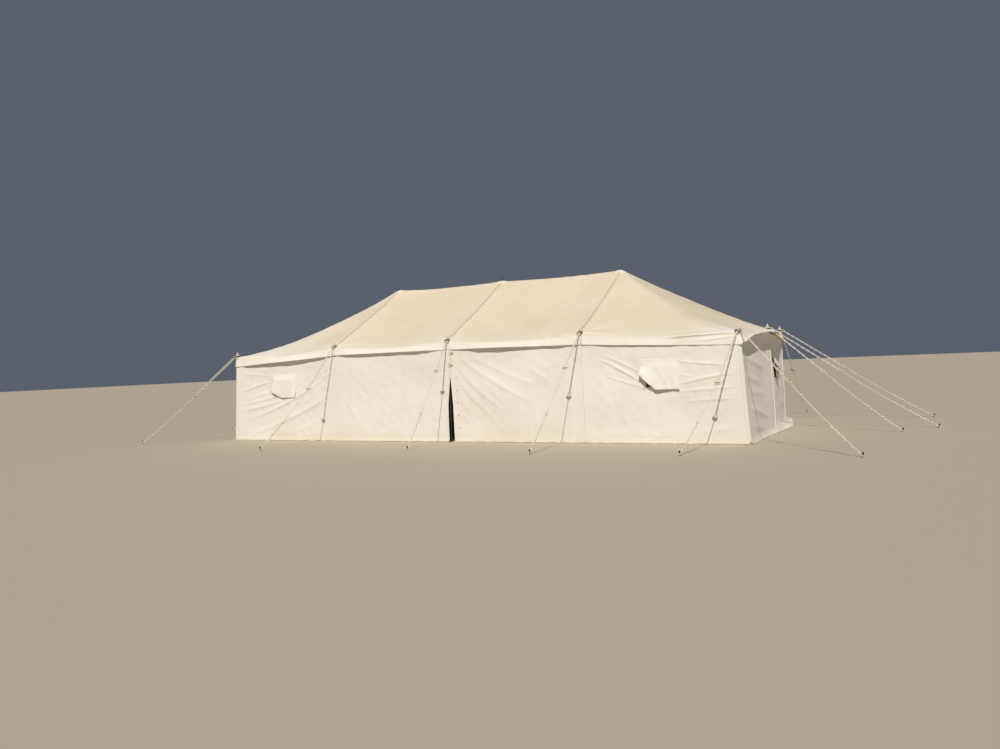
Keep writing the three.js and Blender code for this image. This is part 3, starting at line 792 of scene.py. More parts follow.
def side_point(side, x, z, proud=0.0):
    """A point on the outer face of a side wall, or that much proud of it."""
    out = HALF_WIDTH + WALL_FACE + WALL_SPLAY * lean(z) + side_relief(side, x, z) + proud
    return np.stack([x + 0 * z, side * out, z + 0 * x], axis=-1)


def eave_at(x, side):
    """The height of the eave line of a long side."""
    eaves = np.array(FRONT_EAVE if side < 0 else BACK_EAVE)
    bay, t = bay_of(x)
    return mix(eaves[bay], eaves[bay + 1], t) - EAVE_SAG * dip(t)


# %% Grids of the side walls
FINE_CELL = {-1: 0.028, 1: 0.055}
COARSE_CELL = {-1: 0.042, 1: 0.070}
ROW_SHARE = 0.6
SKIRT_CELL = 0.014
SKIRT_REACH = 0.06
SKIRT_LIFT = 0.006
FOOT_Z = CANVAS + 0.012
walls, wall_grids = {}, {}


def door_edge(half, z):
    """Where the free edge of a door curtain hangs: they meet at the top and gape at the foot."""
    return np.interp(z, DOOR_AT, DOOR_LEFT) + (half > 0) * np.interp(z, DOOR_AT, DOOR_GAP)


def stretch(low, high, cell):
    """Evenly spaced values from low to high, about one cell apart."""
    return np.linspace(low, high, max(int(round(abs(high - low) / cell)), 1) + 1)


def graded(low, high, fine, coarse, reach=1.0):
    """Values from low to high, whose spacing narrows from coarse to fine within reach of high."""
    values = [high]
    way = math.copysign(1, low - high)
    while (low - values[-1]) * way > 0:
        values.append(values[-1] + way * mix(fine, coarse, ease(abs(values[-1] - high) / reach)))
    values = np.array(values[::-1])
    return high + (values - high) * (low - high) / (values[0] - high)


def wall_rows(head, above, beside, below):
    """The heights of a wall's rows, from its head past the window to its foot, and those of the window."""
    upper = mix(head[:, None], WINDOW_TOP, above[None, :])
    lower = np.broadcast_to(np.concatenate([beside, below]), (len(head), len(beside) + len(below)))
    first = len(above) - 1
    return np.concatenate([upper, lower], axis=1), (first, first + len(beside))


def skirt_fold(points, outwards, length, seed):
    """Adds the skirt: the cloth turns out at the ground and lies there in shallow wrinkles."""
    foot = points[:, -1]
    along = np.linalg.norm(foot - foot[0], axis=-1)
    rows = []
    for step in stretch(0, 1, SKIRT_CELL / np.max(length))[1:]:
        uneven = np.maximum(1 + ripple(along, step * length, 0.14, seed), 0)
        lift = SKIRT_LIFT * ease(step * 3) * uneven + 0.003
        wander = 0.06 * ripple(along, 0 * along, 0.5, seed + 1)
        wander = wander + 0.05 * ripple(along, 0 * along, 0.12, seed + 2)
        row = foot + outwards * (length * step * (1 + wander * step))[:, None]
        row[:, 2] = CANVAS + lift * min(1, 6 * (1 - step) + 0.35)
        rows.append(row)
    return np.concatenate([points, np.stack(rows, axis=1)], axis=1)


def add_wall(name, points, opening, outwards, reach, seed, material):
    """Adds the skirt to a wall's grid and makes the wall, with no faces in its window.

    opening gives the first face of the window and the first one past it, both ways.
    """
    points = skirt_fold(points, np.array(outwards), reach, seed)
    kept = np.ones((points.shape[0] - 1, points.shape[1] - 1), bool)
    (left, right), (top, bottom) = opening
    kept[left:right, top:bottom] = False
    wall_grids[name] = (points, kept)
    walls[name] = cloth(name + "_curtain", points, laid_flat(points), [material], kept=kept)
    tell(name, points, walls[name])


def side_wall(name, side, half, seed):
    """Makes one curtain, from the doorway to the corner."""
    window = [half * (WINDOW_X - WINDOW_WIDTH / 2), half * (WINDOW_X + WINDOW_WIDTH / 2)]
    fine, coarse = FINE_CELL[side], COARSE_CELL[side]
    inner = graded(0, window[0], fine, coarse)
    shares = (inner - inner[0]) / (inner[-1] - inner[0])
    opening = stretch(window[0], window[1], fine)
    outer = stretch(0, 1, fine / 1.1)
    corner = half * (HALF_LENGTH + WALL_FACE)
    fine = fine * ROW_SHARE
    above = stretch(0, 1, fine / 0.5)
    beside = stretch(WINDOW_TOP, WINDOW_FOOT, fine)[1:]
    below = graded(FOOT_Z, WINDOW_FOOT, fine, coarse)[::-1][1:]
    fixed = np.concatenate([inner, opening[1:]])
    head = eave_at(np.concatenate([fixed, mix(window[1], corner, outer[1:])]), side) - HEAD_DROP
    z, window_rows = wall_rows(head, above, beside, below)
    x = np.zeros_like(z)
    x[: len(inner)] = mix(door_edge(half, z[: len(inner)]), window[0], shares[:, None])
    x[len(inner) : len(fixed)] = opening[1:, None]
    corner_x = corner + half * (CORNER_SPLAY if side < 0 else BACK_SPLAY) * lean(z[-1])
    x[len(fixed) :] = mix(window[1], corner_x[None, :], outer[1:, None])
    faces = ((len(inner) - 1, len(fixed) - 1), window_rows)
    add_wall(name, side_point(side, x, z), faces, [0, side, 0], SKIRT_REACH, seed, wall_canvas)


for side, place in SIDES:
    for half, hand in HANDS:
        side_wall(f"{place}_wall_{hand}", side, half, seed=70 + side + 3 * half)

# %% End walls
END_FOLDS = [
    ((-2.70, 1.60), (-0.80, 1.33), 0.060, 0.020, 0.0),
    ((-2.72, 1.24), (-1.20, 1.03), 0.051, 0.019, 0.0),
    ((-2.72, 0.92), (-0.70, 0.78), 0.060, 0.015, 0.02),
    ((-2.70, 0.66), (-0.60, 0.30), 0.060, 0.022, 0.0),
    ((-2.60, 0.30), (-1.20, 0.12), 0.051, 0.014, 0.0),
    ((0.15, 1.70), (0.95, 1.55), 0.043, 0.015, 0.0),
    ((0.15, 0.75), (2.60, 0.95), 0.076, 0.010, -0.03),
    ((0.20, 0.35), (2.65, 0.50), 0.085, 0.011, 0.0),
    ((1.55, 1.50), (2.65, 1.72), 0.043, 0.015, 0.0),
]
END_WINDOW_Y = 0.95
END_CELL = {-1: 0.062, 1: 0.045}
END_DRAWN_IN = 0.045
SKIRT_AT = [-2.8, -2.1, -1.5, -0.7, 0.4, 0.9, 1.5, 2.2, 2.8]
END_SKIRT = [0.06, 0.07, 0.09, 0.15, 0.23, 0.29, 0.26, 0.20, 0.15]


def end_relief(side, y, z):
    """How far an end wall stands out from its flat form."""
    relief = -END_DRAWN_IN * dip(np.clip(np.abs(y) / HALF_WIDTH, 0, 1)) * ease((z - 0.6) / DRAWN_OVER)
    for crease in END_FOLDS:
        relief = relief + fold(y, z, *crease)
    relief = relief + 0.010 * ripple(y, z, 0.7, 33 + side) + 0.002 * ripple(y, z, 0.15, 37 + side)
    held = ease((HALF_WIDTH + 0.03 - np.abs(y)) / 0.12) * ease(z / 0.2)
    return relief * held * mix(0.3, 1, ease(np.abs(y) / 0.3))


def end_half(z, inside=0.0006):
    """How far along Y an end wall reaches from the middle, that much inside the side walls."""
    return HALF_WIDTH + WALL_FACE + WALL_SPLAY * lean(z) - CANVAS - inside


def end_point(side, y, z, proud=0.0):
    """A point on the outer face of an end wall, or that much proud of it."""
    t = np.clip(1 - np.abs(y) / end_half(z), 0, 1)
    splay = mix(np.where(y < 0, CORNER_SPLAY, BACK_SPLAY), END_SPLAY, t)
    out = HALF_LENGTH + WALL_FACE + (END_BOW + 0.002) * t + splay * lean(z)
    return np.stack([side * (out + end_relief(side, y, z) + proud), y + 0 * z, z + 0 * y], axis=-1)


def end_wall(name, side, cell, seed):
    """Makes one end curtain, from the front corner to the back corner."""
    window = [END_WINDOW_Y - WINDOW_WIDTH / 2, END_WINDOW_Y + WINDOW_WIDTH / 2]
    low_share, high_share = stretch(0, 1, cell / 3.7), stretch(0, 1, cell / 1.2)
    opening = stretch(window[0], window[1], cell)
    above = stretch(0, 1, cell / 0.5)
    beside = stretch(WINDOW_TOP, WINDOW_FOOT, cell)[1:]
    below = stretch(WINDOW_FOOT, FOOT_Z, cell)[1:]
    flat_y = np.concatenate([mix(-HALF_WIDTH, window[0], low_share), opening[1:]])
    flat_y = np.concatenate([flat_y, mix(window[1], HALF_WIDTH, high_share[1:])])
    t = 1 - np.abs(flat_y) / HALF_WIDTH
    corner = np.where(flat_y < 0, FRONT_EAVE[0] if side < 0 else FRONT_EAVE[4], BACK_EAVE[0])
    head = mix(corner, END_EAVE, t) - EAVE_SAG * dip(t) - 0.03 * ease(1 - 2 * dip(t)) + 0.002
    z, window_rows = wall_rows(head, above, beside, below)
    half_y = end_half(z)
    y = flat_y[:, None] + 0 * z
    left = flat_y < window[0]
    right = flat_y > window[1]
    y[left] = window[0] + (y[left] - window[0]) * (half_y[left] + window[0]) / (HALF_WIDTH + window[0])
    y[right] = window[1] + (y[right] - window[1]) * (half_y[right] - window[1]) / (HALF_WIDTH - window[1])
    points = end_point(side, y, z)
    reach = np.interp(points[:, -1, 1], SKIRT_AT, END_SKIRT)
    first = len(low_share) - 1
    faces = ((first, first + len(opening) - 1), window_rows)
    add_wall(name, points, faces, [side, 0, 0], reach, seed, end_wall_canvas)


for side, hand in HANDS:
    end_wall(f"{hand}_end_wall", side, END_CELL[side], seed=90 + side)

# %% [markdown]
# ## Window flaps
# A flap is a square of canvas sewn on above its window. Cloth doesn't stretch, so where the picture
# shows a lower corner turned up, the corner is rolled: every point past a slanting fold line winds
# into a spiral, at the same distance along the cloth as before. The rest bulges out in a soft dome and
# stands off the wall at its foot, which gives the dark shadow below it.

# %% The form of a flap
FLAP_CELL = {-1: 0.0125, 1: 0.018}
FLAP_FACE = 0.005
FLAP_BULGE = 0.024
HUNG_REACH = 0.21
LIP_OUT = 0.022
LIP_REACH = 0.05
ROLL_TIGHTEN = 0.0006
FOOT_AT = [0.3, 0.42, 0.6, 0.78, 0.92, 1]
FOOT_FREE = [1, 1, 0.7, 0.5, 0.6, 0.8]

# corner gives how far along the foot and up the edge the slanting fold starts, and roll its first
# radius. hung_out is how far the upper end of that fold stands off the wall, stand_off the foot.
Flap = namedtuple("Flap", "width drop top corner roll hung_out stand_off")
LEFT_FLAP = Flap(0.76, 0.58, 1.605, (0.36, 0.17), 0.016, 0.050, 0.036)
RIGHT_FLAP = Flap(0.76, 0.58, 1.605, (0.32, 0.29), 0.021, 0.105, 0.072)
END_FLAP = Flap(0.68, 0.60, 1.60, (0.62, 0.46), 0.030, 0.085, 0.050)


def rolled(a, b, flap, seed):
    """Where flat points of a flap go, across, down and out, with its corner rolled in behind it."""
    along_foot, up_edge = flap.corner
    length = math.hypot(along_foot, up_edge)
    past = (1 - a / along_foot - (flap.drop - b) / up_edge) * along_foot * up_edge / length
    past = np.maximum(past, 0)
    turn = (flap.roll - np.sqrt(np.maximum(flap.roll**2 - 2 * ROLL_TIGHTEN * past, 0))) / ROLL_TIGHTEN
    radius = flap.roll - ROLL_TIGHTEN * turn
    crumple = 0.003 * ripple(a, b, 0.10, seed) * ease(past / 0.03)
    back = past - radius * np.sin(turn) + crumple
    out = np.where(past > 0, radius * np.cos(turn) - flap.roll + np.abs(crumple), 0)
    return a + up_edge / length * back, b - along_foot / length * back, out


def flap_form(flap, cell, seed):
    """The grid of a flap: its flat places, where they lie, how proud they stand, and how free they are."""
    a, b = np.meshgrid(stretch(0, flap.width, cell), stretch(0, flap.drop, cell), indexing="ij")
    across, down, out = rolled(a, b, flap, seed)
    u, v = np.clip(across / flap.width, 0, 1), np.clip(down / flap.drop, 0, 1)
    free = ease(v / 0.3) * ease((1 - u) / 0.14) * ease(u / 0.1)
    dome = FLAP_BULGE * np.exp(-(((u - 0.5) / 0.4) ** 2) - ((v - 0.5) / 0.4) ** 2) * free
    along_foot, up_edge = flap.corner
    inside = np.maximum(a / along_foot + (flap.drop - b) / up_edge - 1, 0) * min(flap.corner)
    loose = flap.stand_off * v**2.6 * np.interp(u, FOOT_AT, FOOT_FREE)
    hung = flap.hung_out * (1 - 0.5 * np.clip(a / along_foot, 0, 1) ** 1.5)
    loose = np.maximum(loose, hung * np.exp(-((inside / HUNG_REACH) ** 2)) * ease((v - 0.2) / 0.25))
    upper_end = np.hypot(a, b - flap.drop + up_edge)
    loose = loose + LIP_OUT * np.exp(-((upper_end / LIP_REACH) ** 2))
    loose = loose + 0.002 * ripple(a, b, 0.11, seed + 1) * free
    flat = np.stack([a, flap.drop - b], axis=-1)
    return flat, across, down, FLAP_FACE + dome + loose, out, free


# %% Windings and ties
TIE_SHARES = (0.25, 0.4, 0.55)
TIE_CLEAR = 0.005


def helix(start, end, radius, turns, phase=0.0, steps=12):
    """A helix about the line from start to end."""
    start, end = np.array(start, float), np.array(end, float)
    axis = unit(end - start)
    side = unit(np.cross(axis, UP))
    other = np.cross(axis, side)
    t = np.linspace(0, 1, int(abs(turns) * steps) + 1)[:, None]
    angle = math.tau * turns * t + phase
    return start + (end - start) * t + radius * (side * np.cos(angle) + other * np.sin(angle))


def grid_spot(points, share):
    """The place at a fractional row and column of a grid, given as shares of its two sides."""
    row, column = share[0] * (points.shape[0] - 1), share[1] * (points.shape[1] - 1)
    i, j = min(int(row), points.shape[0] - 2), min(int(column), points.shape[1] - 2)
    near = points[i : i + 2, j : j + 2]
    s, t = row - i, column - j
    return mix(mix(near[0, 0], near[1, 0], s), mix(near[0, 1], near[1, 1], s), t)


def tie_paths(points, flap, outwards):
    """A cord wound twice round a rolled corner, and its two loose ends."""
    along, up = flap.corner[0] / flap.width, flap.corner[1] / flap.drop
    spots = [grid_spot(points, (along * s, 1 - up * (1 - s))) for s in TIE_SHARES]
    axis = unit(spots[2] - spots[0])
    centre = spots[1] - outwards * flap.roll
    low = np.cross(axis, outwards)
    low = low * (-1 if low[2] > 0 else 1)
    knot = centre + (low * 0.75 + outwards * 0.66) * (flap.roll + 0.006)
    paths = [helix(centre - axis * 0.005, centre + axis * 0.005, flap.roll + TIE_CLEAR, 2)]
    for way in (-1, 1):
        loose = [knot + low * 0.030 + axis * 0.016 * way, knot + low * 0.062 + axis * 0.026 * way]
        paths.append(np.array([knot, *loose]))
    return paths


# %% The six flaps
flaps, flap_grids, flap_ties = {}, {}, {}


def add_flap(name, flap, side, middle, wall, cell, seed):
    """Makes one flap. wall gives the functions of its wall's surface and relief, and its way out."""
    point, relief, outwards = wall
    flat, across, down, proud, out, free = flap_form(flap, cell, seed)
    along, up = middle - flap.width / 2 + across, flap.top - down
    proud = np.maximum(proud - free * relief(side, along, up), FLAP_FACE) + out
    points = flap_grids[name] = point(side, along, up, proud)
    flaps[name] = cloth(name + "_canvas", points, flat, [flap_canvas], thickness=0.002)
    flap_ties[name] = tie_paths(points, flap, outwards)


for side, place in SIDES:
    wall = (side_point, side_relief, np.array([0, side, 0]))
    for (half, hand), flap in zip(HANDS, (LEFT_FLAP, RIGHT_FLAP)):
        name = f"{place}_window_flap_{hand}"
        add_flap(name, flap, side, half * WINDOW_X, wall, FLAP_CELL[side], seed=80 + half + side)
for side, hand in HANDS:
    wall = (end_point, end_relief, np.array([side, 0, 0]))
    name = f"{hand}_end_window_flap"
    add_flap(name, END_FLAP, side, END_WINDOW_Y, wall, FLAP_CELL[-side], seed=120 + side)
print("flaps:", len(flaps))

# %% [markdown]
# ## Geometry Nodes for what repeats
# Ropes, net threads, lacing, eyelets and stitches all follow a path, so three small trees make them:
# one sweeps a laid rope with three twisted strands, one sweeps a plain thread, and one sets copies of
# a small item along a path, turned to the cloth. Each host is a mesh of plain polylines, and its
# evaluated result is kept as an ordinary mesh.


# %% Building and running a tree
def new_tree(name, sockets):
    """An empty Geometry Nodes tree with its named inputs, and its two end nodes."""
    tree = bpy.data.node_groups.new(name, "GeometryNodeTree")
    tree.interface.new_socket("Paths", in_out="INPUT", socket_type="NodeSocketGeometry")
    for label, kind in sockets.items():
        tree.interface.new_socket(label, in_out="INPUT", socket_type="NodeSocket" + kind)
    tree.interface.new_socket("Result", in_out="OUTPUT", socket_type="NodeSocketGeometry")
    return tree, add(tree, "NodeGroupInput").outputs


def end_tree(tree, geometry, material):
    """Realizes the instances, sets the material and ends the tree."""
    real = add(tree, "GeometryNodeRealizeInstances", {"Geometry": geometry})
    done = add(tree, "GeometryNodeSetMaterial", {"Geometry": real.outputs[0], "Material": material})
    add(tree, "NodeGroupOutput", {"Result": done.outputs[0]})


def path_host(name, paths, outs=None):
    """A mesh of polylines. outs gives each path's direction out of the cloth at each point."""
    spots, edges, directions = [], [], []
    for number, path in enumerate(paths):
        first = len(spots)
        spots += [tuple(map(float, spot)) for spot in path]
        edges += [(first + i, first + i + 1) for i in range(len(path) - 1)]
        if outs is not None:
            directions += [tuple(map(float, out)) for out in outs[number]]
    mesh = mesh_of(name, spots, [], edges)
    if outs is not None:
        attribute = mesh.attributes.new("cloth_out", "FLOAT_VECTOR", "POINT")
        attribute.data.foreach_set("vector", np.array(directions, float).ravel())
    return mesh


def grow(name, tree, host, values):
    """Runs a tree on a host mesh and returns the result as a plain mesh."""
    carrier = new_object(name + "_host", host)
    modifier = carrier.modifiers.new("grow", "NODES")
    modifier.node_group = tree
    for item in tree.interface.items_tree:
        if item.in_out == "INPUT" and item.name in values:
            modifier[item.identifier] = values[item.name]
    evaluated = carrier.evaluated_get(bpy.context.evaluated_depsgraph_get())
    mesh = bpy.data.meshes.new_from_object(evaluated)
    mesh.name = name
    bpy.data.objects.remove(carrier)
    return mesh


# %% The laid rope tree
STEPS_PER_LAY = 5.0
STRANDS = 3
GROOVE = 0.66  # how far in the grooves between the strands lie, as a share of the radius
rope_tree, given = new_tree("laid_rope", {"Diameter": "Float", "Lay": "Float", "Material": "Material"})
curve = add(rope_tree, "GeometryNodeMeshToCurve", {"Mesh": given["Paths"]}).outputs[0]
step = calc(rope_tree, "DIVIDE", given["Lay"], STEPS_PER_LAY)
even = add(rope_tree, "GeometryNodeResampleCurve", {"Curve": curve, "Length": step}, mode="LENGTH")
length = add(rope_tree, "GeometryNodeSplineParameter").outputs["Length"]
turns = calc(rope_tree, "DIVIDE", length, given["Lay"])
tilt = calc(rope_tree, "MULTIPLY", turns, math.tau)
laid = add(rope_tree, "GeometryNodeSetCurveTilt", {"Curve": even.outputs[0], "Tilt": tilt})
radius = calc(rope_tree, "DIVIDE", given["Diameter"], 2.0)
circle = add(rope_tree, "GeometryNodeCurvePrimitiveCircle", {"Resolution": 2 * STRANDS, "Radius": radius})
index = add(rope_tree, "GeometryNodeInputIndex").outputs[0]
valley = calc(rope_tree, "LESS_THAN", calc(rope_tree, "MODULO", index, 2.0), 0.5)
shrink = spread(rope_tree, valley, to_low=1.0, to_high=GROOVE)
spot = add(rope_tree, "GeometryNodeInputPosition").outputs[0]
closer = add(rope_tree, "ShaderNodeVectorMath", {0: spot, "Scale": shrink}, operation="SCALE")
moved = {"Geometry": circle.outputs[0], "Position": closer.outputs[0]}
section = add(rope_tree, "GeometryNodeSetPosition", moved)
# The grooves are marked as between, so that the rope finish paints shade and dust into them.
mark = {"Geometry": section.outputs[0], "Name": "between", "Value": valley}
marked = add(rope_tree, "GeometryNodeStoreNamedAttribute", mark)
sweep = {"Curve": laid.outputs[0], "Profile Curve": marked.outputs[0], "Fill Caps": True}
swept = add(rope_tree, "GeometryNodeCurveToMesh", sweep)
end_tree(rope_tree, swept.outputs[0], given["Material"])

# %% The thread tree and the tree that sets items in a row
thread_tree, given = new_tree("thread", {"Diameter": "Float", "Sides": "Int", "Material": "Material"})
curve = add(thread_tree, "GeometryNodeMeshToCurve", {"Mesh": given["Paths"]}).outputs[0]
radius = calc(thread_tree, "DIVIDE", given["Diameter"], 2.0)
ring = {"Resolution": given["Sides"], "Radius": radius}
circle = add(thread_tree, "GeometryNodeCurvePrimitiveCircle", ring).outputs[0]
sweep = {"Curve": curve, "Profile Curve": circle, "Fill Caps": True}
swept = add(thread_tree, "GeometryNodeCurveToMesh", sweep)
end_tree(thread_tree, swept.outputs[0], given["Material"])

row_tree, given = new_tree("items_in_a_row", {"Item": "Object", "Spacing": "Float", "Material": "Material"})
curve = add(row_tree, "GeometryNodeMeshToCurve", {"Mesh": given["Paths"]}).outputs[0]
evenly = {"Curve": curve, "Length": given["Spacing"]}
spots = add(row_tree, "GeometryNodeCurveToPoints", evenly, mode="LENGTH").outputs
outward = add(row_tree, "GeometryNodeInputNamedAttribute", {"Name": "cloth_out"}, data_type="FLOAT_VECTOR")
raised = add(row_tree, "FunctionNodeAlignRotationToVector", {"Vector": outward.outputs[0]}, axis="Z")
heading = {"Rotation": raised.outputs[0], "Vector": spots["Tangent"]}
facing = add(row_tree, "FunctionNodeAlignRotationToVector", heading, axis="X", pivot_axis="Z")
item = add(row_tree, "GeometryNodeObjectInfo", {"Object": given["Item"]}).outputs["Geometry"]
each = {"Points": spots["Points"], "Instance": item, "Rotation": facing.outputs[0]}
copies = add(row_tree, "GeometryNodeInstanceOnPoints", each)
end_tree(row_tree, copies.outputs[0], given["Material"])
print("trees:", [group.name for group in bpy.data.node_groups])

# %% [markdown]
# ## Finishes of the fittings
# The guys are three-strand cotton rope, matt and fibrous, with painted shade and dust darkening the grooves
# between the strands.
# The runners are turned beech. The rings, the ground pegs and the spikes of the centre poles are forged
# iron with a dull black scale. The side posts are black-japanned tube below and hot-dip galvanised
# tube above, with spikes and knobs of white enamel, and the centre poles are galvanised all the way
# up. Eyelets are brass gone dull.


# %% Rope, wood and metal finishes
def laid_rope_finish(name, clean, darker_fibre_and_groove_shade):
    """Three-strand rope: fibres 1 to 3 mm apart, and painted shade and dust darkening the grooves between its
    strands.
    """
    material, tree, shader = blank_material(name)
    between = add(tree, "ShaderNodeAttribute", attribute_name="between").outputs["Fac"]
    place = add(tree, "ShaderNodeTexCoord").outputs["Object"]
    fibre, groove_dust_and_shade = noise(tree, place, 320, 3), noise(tree, place, 4, 3)
    # Painted shade and dust: patchy noise darkens the grooves between the strands towards the second tone.
    shade_dust_and_fibre = calc(tree, "ADD", calc(tree, "MULTIPLY", between, groove_dust_and_shade), fibre)
    tone = tones(tree, spread(tree, shade_dust_and_fibre, 0.35, 1.1), clean, darker_fibre_and_groove_shade)
    feed(tree, shader, {"Base Color": tone, "Normal": bumped(tree, fibre, 0.6, 0.001)})
    feed(tree, shader, {"Roughness": 0.9, "Sheen Weight": 0.2})
    return material


def metal_finish(name, low, high, size_mm, roughness, metallic, dent=0.0004):
    """A metal whose tone varies in patches of that size, with a rougher and a smoother tone."""
    material, tree, shader = blank_material(name)
    place = add(tree, "ShaderNodeTexCoord").outputs["Object"]
    scale = 1000 / size_mm
    patch = add(tree, "ShaderNodeTexVoronoi", {"Vector": place, "Scale": scale}).outputs["Color"]
    fine = noise(tree, place, scale * 3, 4)
    share = spread(tree, calc(tree, "MULTIPLY", patch, fine), high=0.6)
    tone = tones(tree, share, low, high)
    rough = spread(tree, fine, to_low=roughness - 0.1, to_high=roughness + 0.12)
    bump = bumped(tree, fine, 0.5, dent)
    feed(tree, shader, {"Base Color": tone, "Roughness": rough, "Normal": bump, "Metallic": metallic})
    return material


def beech_finish(name):
    """Turned beech: fine rays and growth rings 3 mm apart, greyed by weather."""
    material, tree, shader = blank_material(name)
    place = add(tree, "ShaderNodeTexCoord").outputs["Object"]
    long_grain = add(tree, "ShaderNodeMapping", {"Vector": place, "Scale": (12, 12, 90)}).outputs[0]
    rings = noise(tree, long_grain, 3.5, 5)
    tone = tones(tree, rings, "#d9c6a4", "#a88f6c")
    feed(tree, shader, {"Base Color": tone, "Normal": bumped(tree, rings, 0.4, 0.001), "Roughness": 0.7})
    return material


# The second tone of each is its darker fibres, and on swept rope also the painted shade in its grooves.
cotton_rope = laid_rope_finish("cotton_guy_rope", "#fdf9f0", "#d3c7ac")
lacing_cord = laid_rope_finish("weathered_lacing_cord", "#c0b194", "#8f8066")
stitch_thread = laid_rope_finish("waxed_linen_thread", "#f6efe0", "#c9bb9f")
net_thread = laid_rope_finish("brown_nylon_net", "#85745c", "#62543f")
forged_iron = metal_finish("forged_black_iron", "#1d1b1a", "#4b3a2c", 12, 0.62, 0.9, 0.001)
black_tube = metal_finish("black_japanned_tube", "#15130f", "#2b2620", 14, 0.55, 0.3, 0.0003)
galvanised = metal_finish("galvanised_tube", "#8f9496", "#b9bec0", 9, 0.42, 1.0)
dull_brass = metal_finish("dull_brass", "#6e5c34", "#9b8650", 5, 0.45, 1.0)
white_enamel = metal_finish("white_enamelled_knob", "#e9e4d8", "#f7f4ec", 20, 0.35, 0.0)
turned_beech = beech_finish("weathered_beech")

# %% [markdown]
# ## Laced seams and peak caps
# The four roof sections meet in a seam over each row of posts. The seam is a flat band of canvas with
# eyelets on both sides, closed by a daisy chain: one long cord drawn up as a run of loops, each loop
# through the last. Over each peak a round cap of doubled canvas takes the wear of the spike.

# %% Finding the roof under a point
roof_spots, roof_faces = [], []
for points in grids.values():
    first = sum(len(part) for part in roof_spots)
    roof_spots.append(points.reshape(-1, 3))
    roof_faces += (grid_faces(*points.shape[:2]) + first).tolist()
roof_search = BVHTree.FromPolygons(np.concatenate(roof_spots).tolist(), roof_faces)


def on_roof(x, y, proud=0.0):
    """The point of the roof above a place on the ground, that much proud of the canvas, and its normal."""
    for nudge in (0, 0.004, -0.004, 0.012, -0.012):
        hit, normal, _, _ = roof_search.ray_cast(Vector((x + nudge, y, 5)), Vector((0, 0, -1)))
        if hit is not None:
            break
    hit.x = x
    normal = normal if normal.z > 0 else -normal
    return np.array(hit + normal * proud), np.array(normal)


# %% Turned shapes
def turn_to(direction):
    """The rotation that takes straight up to a direction."""
    return Vector((0, 0, 1)).rotation_difference(Vector(direction)).to_matrix()


def set_down(mesh, spot, direction):
    """Takes a mesh from the origin to a spot, its Z along a direction."""
    mesh.transform(Matrix.Translation(Vector(spot)) @ turn_to(direction).to_4x4())
    return mesh


def turned(name, profile, material, sides=28, base=(0, 0, 0), axis=(0, 0, 1)):
    """A closed turned shape. The profile lists (radius, height) from one pole to the other."""
    turn = turn_to(axis)
    spots, faces, rings = [], [], []
    for radius, height in profile:
        count = 1 if radius == 0 else sides
        rings.append(range(len(spots), len(spots) + count))
        for k in range(count):
            angle = math.tau * k / sides
            local = Vector((radius * math.cos(angle), radius * math.sin(angle), height))
            spots.append(turn @ local + Vector(base))
    for low, high in zip(rings, rings[1:]):
        for k in range(sides):
            ahead = (k + 1) % sides
            quad = [low[k % len(low)], low[ahead % len(low)], high[ahead % len(high)], high[k % len(high)]]
            faces.append(list(dict.fromkeys(quad)))
    return place_piece(name, mesh_of(name, spots, faces), [material])


# %% Small items that are copied along paths
def ring_mesh(name, across, along, wire, around=12, sides=4, wave=0.0):
    """A ring or long link of round wire, flat in its own plane. wave lifts one end over the next link."""
    spots, faces = [], []
    for i in range(around):
        turn = math.tau * i / around
        centre = np.array([along / 2 * math.cos(turn), across / 2 * math.sin(turn), wave * math.cos(turn)])
        outward = np.array([math.cos(turn), math.sin(turn), 0])
        for k in range(sides):
            angle = math.tau * k / sides
            spots.append(centre + wire / 2 * (outward * math.cos(angle) + np.array([0, 0, math.sin(angle)])))
            ahead, beside = (i + 1) % around, (k + 1) % sides
            faces.append((i * sides + k, ahead * sides + k, ahead * sides + beside, i * sides + beside))
    return mesh_of(name, spots, faces)


def stitch_mesh(name, length, width):
    """One stitch: a slim double-ended bead."""
    ends = [(-length / 2, 0, 0), (length / 2, 0, 0)]
    sides = [(0, width / 2, -width / 4), (0, 0, width / 2), (0, -width / 2, -width / 4)]
    faces = [(1, 2 + (k + 1) % 3, 2 + k) for k in range(3)]
    faces += [(0, 2 + k, 2 + (k + 1) % 3) for k in range(3)]
    return mesh_of(name, ends + sides, faces)


def item_object(mesh):
    """An object for a mesh that is copied along paths."""
    return new_object(mesh.name, mesh)


STITCH_PITCH = 0.018
link_item = item_object(ring_mesh("lacing_link", 0.010, 0.100, 0.0038, wave=0.0025))
eyelet_item = item_object(ring_mesh("brass_ring", 0.013, 0.013, 0.004, around=10))
stitch_item = item_object(stitch_mesh("stitch", 0.012, 0.0028))


def joined(name, pieces):
    """Several pieces as one, with all their materials."""
    first = pieces[0]
    chosen = {"object": first, "active_object": first, "selected_objects": pieces}
    with bpy.context.temp_override(selected_editable_objects=pieces, **chosen):
        bpy.ops.object.join()
    first.name = first.data.name = name
    return first


def grown(name, tree, paths, values, outs=None):
    """What a tree makes along paths, as one piece."""
    return place_piece(name, grow(name, tree, path_host(name, paths, outs), values), [])


def rope_along(name, paths, diameter, lay, material):
    """Laid rope along paths, as one piece."""
    return grown(name, rope_tree, paths, {"Diameter": diameter, "Lay": lay, "Material": material})


def set_in_row(name, item, spacing, paths, outs, material):
    """Copies of an item along paths that lie on the cloth, as one piece."""
    return grown(name, row_tree, paths, {"Item": item, "Spacing": spacing, "Material": material}, outs)


def stitches(name, paths, outs):
    """Rows of stitches along paths that lie on the cloth, as one piece."""
    return set_in_row(name + "_stitches", stitch_item, STITCH_PITCH, paths, outs, stitch_thread)


def stitch_lines(name, points, lines):
    """Stitches along lines of a grid. Each line is an index that picks its points."""
    normals = grid_normals(points)
    paths = [points[line] + normals[line] * 0.001 for line in lines]
    return stitches(name, paths, [normals[line] for line in lines])


